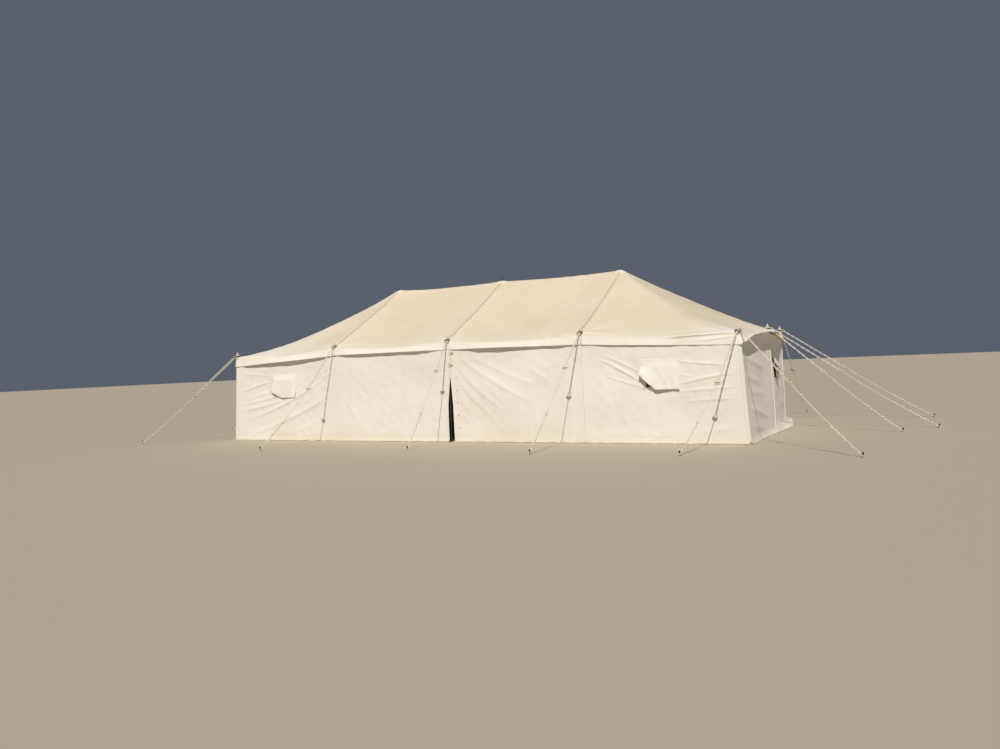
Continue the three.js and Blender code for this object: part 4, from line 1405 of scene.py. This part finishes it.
# %% Seam bands, lacing and eyelets
SEAM_WIDTH = 0.075
SEAM_SHARES = np.array([-0.5, -0.46, -0.2, 0, 0.2, 0.46, 0.5])
SEAM_CROWN = [0.0025, 0.0045, 0.005, 0.005, 0.005, 0.0045, 0.0025]
LINK_PITCH = 0.078
EYELET_ROWS = (-0.024, 0.024)
STITCH_ROWS = (-0.033, 0.033)
CAP_RADIUS = 0.12
ROOF_STEP = 0.025
fittings = {}


def roof_path(x, side, shift, proud):
    """Points and outward directions down one side of a roof seam, from the cap to the eave."""
    places = np.arange(CAP_RADIUS - 0.02, HALF_WIDTH - 0.05, ROOF_STEP)
    found = [on_roof(x + shift, side * y, proud) for y in places]
    return [spot for spot, _ in found], [normal for _, normal in found]


def row_on_roof(name, item, spacing, x, shifts, proud, material):
    """Items in rows down both sides of a roof seam, each row shifted sideways."""
    rows = [roof_path(x, side, shift, proud) for side in (-1, 1) for shift in shifts]
    paths, outs = zip(*rows)
    return set_in_row(name, item, spacing, paths, outs, material)


for number, x in enumerate(POST_X[1:4], start=1):
    bands = []
    for side in (-1, 1):
        lines = zip(SEAM_SHARES * SEAM_WIDTH, SEAM_CROWN)
        points = np.array([roof_path(x, side, shift, proud)[0] for shift, proud in lines])
        bands.append(cloth(f"seam_band_{number}", points, laid_flat(points), [roof_canvas], 0.001))
    seam = f"seam_{number}"
    fittings[seam] = [
        joined(seam + "_band", bands),
        row_on_roof(seam + "_lacing", link_item, LINK_PITCH, x, [0], 0.009, lacing_cord),
        row_on_roof(seam + "_eyelets", eyelet_item, 2 * LINK_PITCH, x, EYELET_ROWS, 0.006, dull_brass),
        row_on_roof(seam + "_stitches", stitch_item, STITCH_PITCH, x, STITCH_ROWS, 0.0055, stitch_thread),
    ]

# %% Peak caps
CAP_RINGS = np.array([0.009, 0.02, 0.035, 0.05, 0.068, 0.085, 0.1, 0.112, 0.117, CAP_RADIUS])
CAP_LIFT = np.array([0.016, 0.014, 0.012, 0.011, 0.010, 0.009, 0.009, 0.008, 0.006, 0.002])
CAP_SCALLOPS = 8
caps = {}
for number, x in enumerate(POST_X[1:4], start=1):
    angles = np.linspace(0, math.tau, 65)
    points = np.zeros((len(angles), len(CAP_RINGS), 3))
    for i, angle in enumerate(angles):
        scallop = 1 + 0.05 * math.cos(CAP_SCALLOPS * angle)
        for k, (ring, lift) in enumerate(zip(CAP_RINGS, CAP_LIFT)):
            spot, _ = on_roof(x + ring * scallop * math.cos(angle), ring * scallop * math.sin(angle))
            points[i, k] = spot + UP * lift
    points[-1] = points[0]
    far = far_along(points) + CAP_RINGS[0]
    flat = np.stack([far * np.cos(angles)[:, None], far * np.sin(angles)[:, None]], axis=-1)
    name = f"peak_cap_{number}"
    caps[name] = cloth(name, points, flat, [cap_canvas], 0.002)
    rim = points[:, 7] + UP * 0.001
    fittings[name] = [stitches(name, [rim], [0 * rim + UP])]

# %% Stitches along the eaves and hems of the roof
for name, points in grids.items():
    rows = [-2, fan_eave[1] + 1] if "end" in name else [1, -2, eave_rows[1] - 1, eave_rows[-2] + 1]
    fittings[name] = [stitch_lines(name, points, [(slice(None), row) for row in rows])]
print("roof fittings:", sum(map(len, fittings.values())))

# %% [markdown]
# ## Sewing on the walls
# A canvas wall is stiffened where it is held or handled: a tape round each window, a hem down each free
# edge, a band along its foot, and flat seams where two widths of cloth meet. Each is its own strip of
# canvas, laid on the wall by casting rays at it, with a row of stitches near each of its edges. The
# windows have a net behind them, whose threads are drawn 8 mm apart, coarser than the real mesh.

# %% Laying strips on a cloth
STRIP_FACE = 0.0025
STRIP_STEP = 0.03
STITCH_INSIDE = 0.005
FLAT_CROWN = (0, 0.001, 0.001, 0)
tape_canvas = canvas("binding_tape", "#f6f2ea", "#eee7da", sand=0.2)
foot_canvas = canvas("foot_band_duck", "#f1ebdf", "#e8dfce", sand=0.2)


def search_of(points, kept=None):
    """A search tree of the outer face of a cloth."""
    faces = grid_faces(*points.shape[:2], kept).tolist()
    return BVHTree.FromPolygons(points.reshape(-1, 3).tolist(), faces)


def lie_on(search, spots, inward, proud):
    """Moves spots inwards onto a cloth, that much proud of it, and gives its outward directions there."""
    found, outs = [], []
    inward = Vector(inward)
    for spot in spots:
        hit, normal, _, _ = search.ray_cast(Vector(spot) - inward * 0.3, inward)
        if hit is None:
            hit, normal, _, _ = search.find_nearest(Vector(spot))
        normal = normal if normal.dot(inward) < 0 else -normal
        found.append(np.array(hit + normal * proud))
        outs.append(np.array(normal))
    return np.array(found), np.array(outs)


class Sewing:
    """What is sewn on one wall: strips of canvas, and stitches along their edges."""

    def __init__(self, name, points, kept, inward):
        self.name, self.inward = name, inward
        self.search = search_of(points, kept)
        self.strips, self.paths, self.outs = [], [], []

    def strip(self, lines, crown, material):
        """A strip through several lines of spots, each raised by its share of the crown."""
        rises = [STRIP_FACE + rise for rise in crown]
        points = [lie_on(self.search, line, self.inward, rise)[0] for line, rise in zip(lines, rises)]
        points = np.array(points)
        name = f"{self.name}_strip_{len(self.strips)}"
        self.strips.append(cloth(name, points, laid_flat(points), [material], 0.001))

    def stitch(self, line, proud=0.0035):
        """A row of stitches along a line of spots."""
        spots, outs = lie_on(self.search, line, self.inward, proud)
        self.paths.append(spots)
        self.outs.append(outs)

    def tape(self, path, across, width, crown=FLAT_CROWN, material=None):
        """A tape along a path, stitched down along both edges."""
        shares = np.linspace(-0.5, 0.5, len(crown))
        self.strip([path + across * share * width for share in shares], crown, material or tape_canvas)
        for share in (-0.5, 0.5):
            self.stitch(path + across * (share * width - math.copysign(STITCH_INSIDE, share)))

    def finish(self):
        """The strips as one piece and the stitches as another."""
        return [joined(self.name + "_tapes", self.strips), stitches(self.name, self.paths, self.outs)]


# %% Window tapes and nets
TAPE_WIDTH = 0.04
NET_MESH = 0.0078
NET_DEPTH = 0.0045
NET_THREAD = {"Diameter": 0.0026, "Sides": 3, "Material": net_thread}


def rectangle(low, high, grow_by):
    """Spots round a rectangle that is that much larger on every side, closed."""
    a0, z0, a1, z1 = low[0] - grow_by, low[1] - grow_by, high[0] + grow_by, high[1] + grow_by
    corners = [(a0, z0), (a1, z0), (a1, z1), (a0, z1), (a0, z0)]
    spots = []
    for start, end in zip(corners, corners[1:]):
        share = np.linspace(0, 1, 20)[:-1, None]
        spots.append(np.array(start) + (np.array(end) - np.array(start)) * share)
    return np.concatenate(spots + [[corners[0]]])


def frame_window(sewing, place, middle):
    """The tape round a window and its net. place turns distances along and up the wall to a point."""
    low = np.array([middle - WINDOW_WIDTH / 2, WINDOW_FOOT])
    high = np.array([middle + WINDOW_WIDTH / 2, WINDOW_TOP])

    def ring(grow_by):
        around = rectangle(low, high, grow_by)
        return place(around[:, 0], around[:, 1], 0)

    sewing.strip([ring(TAPE_WIDTH * share + 0.001) for share in (0, 0.33, 0.66, 1)], FLAT_CROWN, tape_canvas)
    for share in (0.12, 0.88):
        sewing.stitch(ring(TAPE_WIDTH * share))
    threads = []
    heights = stretch(low[1] - 0.01, high[1] + 0.01, 0.09)
    for along in stretch(low[0], high[0], NET_MESH):
        threads.append(place(along + 0 * heights, heights, -NET_DEPTH))
    places = stretch(low[0] - 0.01, high[0] + 0.01, 0.09)
    for height in stretch(low[1], high[1], NET_MESH):
        threads.append(place(places, height + 0 * places, -NET_DEPTH))
    return grown(sewing.name + "_net", thread_tree, threads, NET_THREAD)


# %% Sew the long walls
WALL_TOP = 1.96
ROPED = (0, 0.010, 0.012, 0.010, 0)
FELLED = (0, 0.004, 0.006, 0.004, 0)
FOOT_BAND = 0.075
FOOT_BAND_Z = 0.045
ALONG_X, ALONG_Y = np.array([1.0, 0, 0]), np.array([0, 1.0, 0])
heights = stretch(0.02, WALL_TOP, STRIP_STEP)


def sew_foot(sewing, place, start, end, material):
    """The band along the foot of a wall."""
    along = stretch(start, end, STRIP_STEP)
    sewing.tape(place(along, FOOT_BAND_Z + 0 * along, 0), UP, FOOT_BAND, material=material)


for side, place in SIDES:
    for half, hand in HANDS:
        name = f"{place}_wall_{hand}"
        sewing = Sewing(name, *wall_grids[name], (0, -side, 0))
        on_side = partial(side_point, side)
        splay = CORNER_SPLAY if side < 0 else BACK_SPLAY
        corner_x = half * (HALF_LENGTH + WALL_FACE + splay * lean(heights) - 0.024)
        sewing.tape(on_side(corner_x, heights, 0), ALONG_X, TAPE_WIDTH)
        edge_x = door_edge(half, heights) + half * 0.022
        sewing.tape(on_side(edge_x, heights, 0), ALONG_X, TAPE_WIDTH - 0.004)
        seam_x = half * BAY + 0.03 + 0.02 * lean(heights)
        sewing.tape(on_side(seam_x, heights, 0), ALONG_X, 0.03, FELLED)
        door_x = door_edge(half, FOOT_BAND_Z) + half * 0.01
        sew_foot(sewing, on_side, door_x, corner_x[0], foot_canvas)
        net = frame_window(sewing, on_side, half * WINDOW_X)
        fittings[name] = sewing.finish() + [net]

# %% Sew the end walls
for side, hand in HANDS:
    name = f"{hand}_end_wall"
    sewing = Sewing(name, *wall_grids[name], (-side, 0, 0))
    on_end = partial(end_point, side)
    tall = stretch(0.02, END_EAVE - 0.04, STRIP_STEP)
    sewing.tape(on_end(0 * tall, tall, 0), ALONG_Y, 0.055, ROPED)
    edge_y = end_half(heights, inside=0.030)
    for way in (-1, 1):
        sewing.tape(on_end(way * edge_y, heights, 0), ALONG_Y, 0.045, ROPED)
    sew_foot(sewing, on_end, -edge_y[0], edge_y[0], tape_canvas)
    net = frame_window(sewing, on_end, END_WINDOW_Y)
    fittings[name] = sewing.finish() + [net]

# %% Hems and ties of the window flaps
FLAP_LINES = [(slice(None), 1), (slice(None), -3), (2, slice(None)), (-3, slice(None))]
for name, points in flap_grids.items():
    fittings[name] = [stitch_lines(name, points, FLAP_LINES)]
    fittings[name].append(rope_along(name + "_tie", flap_ties[name], 0.007, 0.024, lacing_cord))

# %% Eyelets and toggles of the doorway
EYELETS_TOP = (0.18, 1.37)
EYELETS_FOOT = (0.235, 0.30)
EYELET_PITCH = 0.26
TOGGLES = [((0.12, 1.90), (0.55, 0, 0.83)), ((0.085, 1.64), (0.95, 0, 0.30))]
HALF_TOGGLE = [(0.006, 0.039), (0.010, 0.034), (0.0105, 0.014), (0.008, 0)]
TOGGLE_PROFILE = [(0, -0.040), *[(radius, -height) for radius, height in HALF_TOGGLE]]
TOGGLE_PROFILE += [*HALF_TOGGLE[2::-1], (0, 0.040)]
# Painted shade: the door eyelets are black iron with almost no hole, so their dark stands partly for the iron
# and partly for the shade inside each hole.
door_eyelet = item_object(ring_mesh("door_eyelet", 0.015, 0.015, 0.011))
for side, place in SIDES:
    name = f"{place}_wall_right"
    search = search_of(*wall_grids[name])
    x, z = (mix(top, foot, np.linspace(0, 1, 40)) for top, foot in zip(EYELETS_TOP, EYELETS_FOOT))
    spots, outs = lie_on(search, side_point(side, x, z), (0, -side, 0), 0.002)
    eyelets = set_in_row(f"{place}_door_eyelets", door_eyelet, EYELET_PITCH, [spots], [outs], forged_iron)
    wood, loops = [], []
    for number, ((x, z), axis) in enumerate(TOGGLES):
        (spot,), _ = lie_on(search, [side_point(side, np.array(x), np.array(z))], (0, -side, 0), 0.014)
        axis = unit(np.array(axis))
        toggle = turned(f"{place}_toggle_{number}", TOGGLE_PROFILE, turned_beech, 12, spot, axis)
        wood.append(toggle)
        loops.append(helix(spot - axis * 0.006, spot + axis * 0.006, 0.012, 2))
        seam = spot + np.array([-0.075, -side * 0.004, 0])
        tip = spot + np.array([0.012, side * 0.006, 0])
        loops.append(np.array([seam + UP * 0.045, tip, seam - UP * 0.040, seam + UP * 0.045]))
    cord = rope_along(f"{place}_toggle_loops", loops, 0.009, 0.03, lacing_cord)
    fittings[name] += [eyelets, joined(f"{place}_toggles", wood), cord]
print("pieces on the cloths:", sum(map(len, fittings.values())))

# %% [markdown]
# ## Posts, poles and their spikes
# Posts and poles are round, so each is one profile turned about its own axis: a foot plate, a tube
# with a sliding joint that sets its height, a shoulder that the canvas sits on, and a spike. The white
# knob that caps each side post is a bead of its own. An iron ring lies round the spike on the canvas.

# %% Posts and poles
JOINT_Z = 1.33
TUBE, SLEEVE, UPPER, SPIKE = 0.0195, 0.021, 0.0175, 0.006  # radii
POST_SPIKE = 0.108
POLE_JOINT_Z = 1.9
POLE_TUBE, POLE_UPPER = 0.032, 0.029
POLE_SPIKE = 0.112
IRON_RING = 0.110
IRON_WIRE = 0.017
post_names = [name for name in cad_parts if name.endswith(tuple("12345")) and "_post_" in name]
post_names += ["left_end_post", "right_end_post"]
pieces_of_nodes = {}


def dress(name, shapes, others=()):
    """One piece for a post or pole: its turned shapes, each with its profile, material and sides."""
    parts = list(others)
    for part, profile, material, sides in shapes:
        parts.append(turned(f"{name}_{part}", profile, material, sides, base=(*post_place(name), 0)))
    pieces_of_nodes[name] = [joined(name + "_dressed", parts)]


for name in post_names:
    x, y = post_place(name)
    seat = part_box(name)[1].z - POST_SPIKE
    tube = [(0, 0), (0.034, 0), (0.034, 0.004), (0.032, 0.006), (0.0205, 0.007), (TUBE, 0.012)]
    tube += [(TUBE, JOINT_Z), (0, JOINT_Z)]
    upper = [(0, JOINT_Z - 0.05), (TUBE, JOINT_Z - 0.05), (SLEEVE, JOINT_Z - 0.048), (SLEEVE, JOINT_Z)]
    upper += [(0.0205, JOINT_Z + 0.002), (UPPER, JOINT_Z + 0.003), (UPPER, seat - 0.034)]
    upper += [(0.010, seat), (0, seat)]
    spike = [(0, seat - 0.02), (SPIKE, seat - 0.02), (SPIKE, seat + 0.079), (0, seat + 0.079)]
    knob = [(0, 0.078), (0.007, 0.078), (0.012, 0.081), (0.014, 0.086), (0.014, 0.098), (0.012, 0.103)]
    knob = [(radius, seat + up) for radius, up in knob + [(0.008, 0.107), (0, POST_SPIKE)]]
    hung = np.array([0.0, np.sign(y), 0]) if "end" not in name else np.array([np.sign(x), 0.0, 0])
    ring = ring_mesh(name + "_ring", IRON_RING, IRON_RING, IRON_WIRE, around=28, sides=8)
    set_down(ring, Vector((x, y, seat + 0.004)) + Vector(hung * 0.034), hung * 0.26 + UP * 0.966)
    shapes = [("tube", tube, black_tube, 28), ("upper", upper, galvanised, 28)]
    shapes += [("spike", spike, white_enamel, 14), ("knob", knob, white_enamel, 20)]
    dress(name, shapes, [place_piece(ring.name, ring, [forged_iron])])

for number in (1, 2, 3):
    name = f"centre_pole_{number}"
    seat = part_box(name)[1].z - POLE_SPIKE
    tube = [(0, 0), (0.075, 0), (0.075, 0.006), (0.072, 0.008), (0.034, 0.009), (POLE_TUBE, 0.016)]
    tube += [(POLE_TUBE, POLE_JOINT_Z), (0.0315, POLE_JOINT_Z + 0.002), (POLE_UPPER, POLE_JOINT_Z + 0.003)]
    tube += [(POLE_UPPER, seat - 0.06), (0.016, seat), (0, seat)]
    spike = [(0, seat - 0.02), (SPIKE, seat - 0.02), (SPIKE, seat + 0.098), (0.0045, seat + 0.108)]
    spike += [(0, seat + POLE_SPIKE)]
    dress(name, [("tube", tube, galvanised, 28), ("spike", spike, forged_iron, 14)])

spike_rings = []
for number, (x, y, _) in enumerate(SPIKES + PEAKS):
    spot, normal = on_roof(x + 0.012, y, 0.004)
    mesh = ring_mesh(f"spike_eyelet_{number}", 0.026, 0.026, 0.006, around=20, sides=6)
    spike_rings.append(place_piece(mesh.name, set_down(mesh, (x, y, spot[2]), normal), [dull_brass]))
all_spike_rings = joined("spike_eyelets", spike_rings)
print("posts and poles:", len(pieces_of_nodes))

# %% [markdown]
# ## Guy lines
# Every guy starts as a doubled rope looped over its spike, and its bight is wound round the spike. The
# two strands are twisted together down to a wooden runner, and one rope goes on from the runner to an
# iron peg, round it, and is hitched back on itself. The ropes are taut, so they are straight, and the
# loops and hitches are helices.

# %% Runner and peg
RUNNER_LENGTH = 0.116
RUNNER_HOLES = (-0.034, 0, 0.034)
RUNNER_SIDES = 16
RUNNER_ROWS = [(-1, 0.3), (-0.97, 0.62), (-0.86, 0.9), (-0.6, 1), (0, 0.94)]
RUNNER_ROWS += [(-share, girth) for share, girth in RUNNER_ROWS[3::-1]]
PEG_RADIUS = 0.012


def runner_mesh():
    """A flat beech runner with three holes, lying along X with its holes along Z."""
    spots, faces, sides = [], [], RUNNER_SIDES
    for share, girth in RUNNER_ROWS:
        for k in range(sides):
            angle = math.tau * k / sides
            wide, thick = 0.017 * girth * math.cos(angle), 0.010 * girth * math.sin(angle)
            spots.append((share * RUNNER_LENGTH / 2, wide, thick))
    last = len(RUNNER_ROWS) - 1
    for i in range(last):
        for k in range(sides):
            ahead = (k + 1) % sides
            faces.append((i * sides + k, i * sides + ahead, (i + 1) * sides + ahead, (i + 1) * sides + k))
    faces += [list(range(sides))[::-1], list(range(last * sides, (last + 1) * sides))]
    blank = item_object(mesh_of("runner_blank", spots, faces))
    drills = []
    for x in RUNNER_HOLES:
        drill = turned("drill", [(0, -0.03), (0.0085, -0.03), (0.0085, 0.03), (0, 0.03)], turned_beech, 14)
        drill.data.transform(Matrix.Translation((x, 0, 0)))
        hole = blank.modifiers.new("hole", "BOOLEAN")
        hole.operation, hole.solver, hole.object = "DIFFERENCE", "EXACT", drill
        drills.append(drill)
    done = bpy.data.meshes.new_from_object(blank.evaluated_get(bpy.context.evaluated_depsgraph_get()))
    for leftover in [blank] + drills:
        bpy.data.objects.remove(leftover)
    return done


runner_blank = runner_mesh()
print("runner faces:", len(runner_blank.polygons))

# %% One guy line
ROPE = 0.016
ROPE_LAY = 0.050
LOOP = 0.046
LOOP_CLOSES = 0.075
EDGE_OUT = 0.050
EDGE_DROP = 0.016
TWIST = 0.24
STRAND_APART = 0.0105
FORK_FROM = 0.86
FORK_WIDTH = 0.022
STRAND_KNOT = 0.0105
RUNNER_KNOT = 0.0115
BACK_KNOT = 0.0135
BACK_APART = 0.0145
BACK_TWIST = 0.16
PEG_ROPE = 0.03
PEG_TOP = 0.078
PEG_SLANT = (0.035, 0.113)
HITCH_SHARE = 0.45
RING_DROP = 0.086
SPIKE_TURNS = 3.4
SPIKE_COIL = (0.038, 0.015)
COIL_START = 0.013
COIL_RISE = 0.0115
WOUND_PITCH = 0.075
WOUND = {"front_left_corner_guy": 0.62}


def doubled_rope(ring, edge, runner, out, across):
    """The two strands from the loop on the spike down to the runner, loosely twisted, as one path."""
    reach = np.linalg.norm(runner - edge)
    square = np.cross(unit(runner - edge), across)
    turns = max(round(reach / TWIST * 2) / 2, 0.5)
    t = np.linspace(0, 1, int(turns * 12) + 2)[:, None]
    spread_out = STRAND_APART + FORK_WIDTH * np.clip((t - FORK_FROM) / (1 - FORK_FROM), 0, 1) ** 1.5
    spread_out = spread_out + (LOOP - STRAND_APART) * ease(1 - t * reach / LOOP_CLOSES)
    angle = math.tau * turns * t
    turned_out = across * np.cos(angle) + square * np.sin(angle)
    strands = [mix(edge, runner, t) + sign * spread_out * turned_out for sign in (1, -1)]
    bow = np.radians(np.linspace(0, 180, 13))[:, None]
    around = ring + LOOP * (across * np.cos(bow) + (UP * 0.3 - out) * np.sin(bow))
    return np.concatenate([strands[0][::-1], around, strands[1]])


def hitch_knot(middle, along, radius):
    """A knot: two turns round the rope and one tucked back over them."""
    turns = helix(middle - along * 0.012, middle + along * 0.012, radius, 2.2)
    return [turns, helix(middle + along * 0.014, middle - along * 0.016, radius * 1.25, 0.8, phase=2.0)]


def single_rope(runner, peg, pull):
    """The rope from the runner round the peg, and its end, which is twisted back up and knotted."""

    def hanging(t):
        return mix(runner, peg, t) - UP * 0.03 * dip(t)

    share = np.linspace(1, 1 - HITCH_SHARE, 60)[:, None]
    middle = hanging(share)
    back = unit(runner - peg)
    side = unit(np.cross(back, UP))
    angle = (1 - share) * np.linalg.norm(runner - peg) / BACK_TWIST * math.tau
    twisted = middle + BACK_APART * (side * np.cos(angle) + np.cross(back, side) * np.sin(angle))
    paths = [hanging(np.linspace(0, 1, 40)[:, None]), *hitch_knot(runner + pull * 0.026, pull, RUNNER_KNOT)]
    return paths + [twisted, *hitch_knot(middle[-1], back, BACK_KNOT)]


def spike_coil(ring, out, across):
    """The bight of the rope, wound up round the spike in a cone."""
    turn = np.linspace(0, math.tau * SPIKE_TURNS, 50)[:, None]
    reach = np.linspace(*SPIKE_COIL, 50)[:, None]
    coil = reach * (out * np.cos(turn) + across * np.sin(turn))
    return ring + coil + UP * (COIL_START + COIL_RISE * turn / math.tau)


def guy_line(name, post, peg_x, peg_y, along=0.44, sag=0.04, *, lift, wound):
    """The rope, runner and peg of one guy line. wound is the share that has spare rope wound round it."""
    x, y = post_place(post)
    ring = np.array([x, y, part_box(post)[1].z - RING_DROP + lift])
    peg = np.array([peg_x, peg_y, PEG_ROPE])
    out = unit(np.array([peg_x - x, peg_y - y, 0]))
    across = np.array([-out[1], out[0], 0])
    edge = ring + out * EDGE_OUT - UP * EDGE_DROP
    runner = mix(edge, peg, along) - UP * sag
    pull = unit(runner - edge)
    strands = doubled_rope(ring, edge, runner, out, across)
    paths = [strands]
    for end in (strands[0], strands[-1]):
        paths.append(np.array([end - pull * 0.002, end + pull * 0.030]))
        paths += hitch_knot(end + pull * 0.020, pull, STRAND_KNOT)
    if lift == 0:
        paths.append(spike_coil(ring, out, across))
    axis = unit(np.array([out[0] * PEG_SLANT[0], out[1] * PEG_SLANT[0], PEG_SLANT[1]]))
    paths += single_rope(runner + pull * 0.004, peg - out * 0.004, pull)
    if wound:
        start, end = mix(edge, runner, 0.06), mix(edge, runner, wound)
        turns = np.linalg.norm(end - start) / WOUND_PITCH
        paths += [helix(start, end, STRAND_APART + ROPE * 1.1, turns, phase) for phase in (0, math.pi)]
    paths.append(helix(peg - axis * 0.010, peg + axis * 0.012, PEG_RADIUS + ROPE / 2, 1.75))
    rope = rope_along(name + "_rope", paths, ROPE, ROPE_LAY, cotton_rope)
    wood = runner_blank.copy()
    runner_axes = Matrix((Vector(across), Vector(np.cross(pull, across)), Vector(pull))).transposed()
    wood.transform(Matrix.Translation(Vector(runner)) @ runner_axes.to_4x4())
    stick = place_piece(name + "_runner", wood, [turned_beech])
    foot = peg - axis * (PEG_ROPE / axis[2])
    tip = PEG_TOP / axis[2]
    iron = [(0, 0.003), (0.010, 0.003), (PEG_RADIUS, 0.012), (PEG_RADIUS, tip - 0.014)]
    iron += [(0.0115, tip - 0.010), (0.016, tip - 0.008), (0.017, tip - 0.004), (0.013, tip), (0, tip)]
    stake = turned(name + "_peg", iron, forged_iron, 16, base=foot, axis=axis)
    return [rope, joined(name + "_hardware", [stick, stake])]


# Each guy is its name, its post and the place of its peg. Those of the four front posts also give, as
# in the picture, the share of the way down at which the runner lies and how far it sags there.
GUYS = [
    ("front_guy_2", "front_post_2", -3.48, -4.88, 0.365, 0.15),
    ("front_guy_3", "front_post_3", -0.09, -4.38, 0.285, 0.03),
    ("front_guy_4", "front_post_4", 2.73, -4.70, 0.31, 0.01),
    ("front_guy_5", "front_post_5", 5.41, -4.60, 0.37, 0.16),
    ("front_left_corner_guy", "front_post_1", -8.24, -3.95),
    ("front_right_corner_guy", "front_post_5", 8.15, -4.48),
    ("back_guy_1", "back_post_1", -6.43, 5.06),
    ("back_guy_2", "back_post_2", -3.77, 4.58),
    ("back_guy_3", "back_post_3", -0.09, 4.38),
    ("back_guy_4", "back_post_4", 2.73, 4.70),
    ("back_guy_5", "back_post_5", 6.43, 5.06),
    ("back_left_corner_guy", "back_post_1", -9.35, 3.10),
    ("back_right_corner_guy", "back_post_5", 9.35, 3.10),
    ("left_end_guy_1", "left_end_post", -8.70, -0.50),
    ("left_end_guy_2", "left_end_post", -9.35, 0.45),
    ("right_end_guy_1", "right_end_post", 8.70, -0.50),
    ("right_end_guy_2", "right_end_post", 9.35, 0.45),
]
LIFT = 0.014  # a second guy on the same spike lies over the first
seen_posts = []
rope_triangles = 0
for name, post, *places in GUYS:
    lift = LIFT * seen_posts.count(post)
    seen_posts.append(post)
    parts = guy_line(name, post, *places, lift=lift, wound=WOUND.get(name, 0))
    rope_triangles += sum(len(face.vertices) - 2 for face in parts[0].data.polygons)
    pieces_of_nodes[name] = parts
print("guy lines:", len(GUYS), "rope triangles:", rope_triangles)

# %% [markdown]
# ## What each piece rides on
# The tent has no moving joint, so every piece rides on the one body. Each sheet states the size it
# was cut to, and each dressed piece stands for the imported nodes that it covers.

# %% Ride, replace and declare
for helper in (link_item, eyelet_item, stitch_item, door_eyelet):
    bpy.data.objects.remove(helper)


def placed(piece, slot, *nodes):
    """A piece rides on the one body and stands for its nodes, which it hides. slot is not used."""
    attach(piece, "root")
    if nodes:
        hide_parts(*nodes)


def declare(piece):
    """Says the size that a cloth was cut to, from its flat layout."""
    width, length, area = cuts[piece.name]
    print(piece.name, "cut from", round(width, 2), "by", round(length, 2), "m, area", round(area, 2), "m2")


for group, slot in ((roofs, "roof_canvas"), (walls, "wall_canvas"), (flaps, "flap_canvas")):
    for name, piece in group.items():
        placed(piece, slot, name)
for piece in caps.values():
    placed(piece, "roof_canvas")
for name, pieces in fittings.items():
    slot = "wall_canvas" if "wall" in name else "flap_canvas" if "flap" in name else "roof_canvas"
    for piece in pieces:
        placed(piece, slot)
placed(all_spike_rings, "roof_canvas")
for name, parts in pieces_of_nodes.items():
    slot = "guy_rope" if "guy" in name else "pole_steel" if "pole" in name else "post_steel"
    for piece in parts:
        placed(piece, slot, name)

for name, piece in roofs.items():
    declare(piece)
for name, piece in caps.items():
    declare(piece)
for name, piece in walls.items():
    declare(piece)
for name, piece in flaps.items():
    declare(piece)

triangles = sum(len(face.vertices) - 2 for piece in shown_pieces() for face in piece.data.polygons)
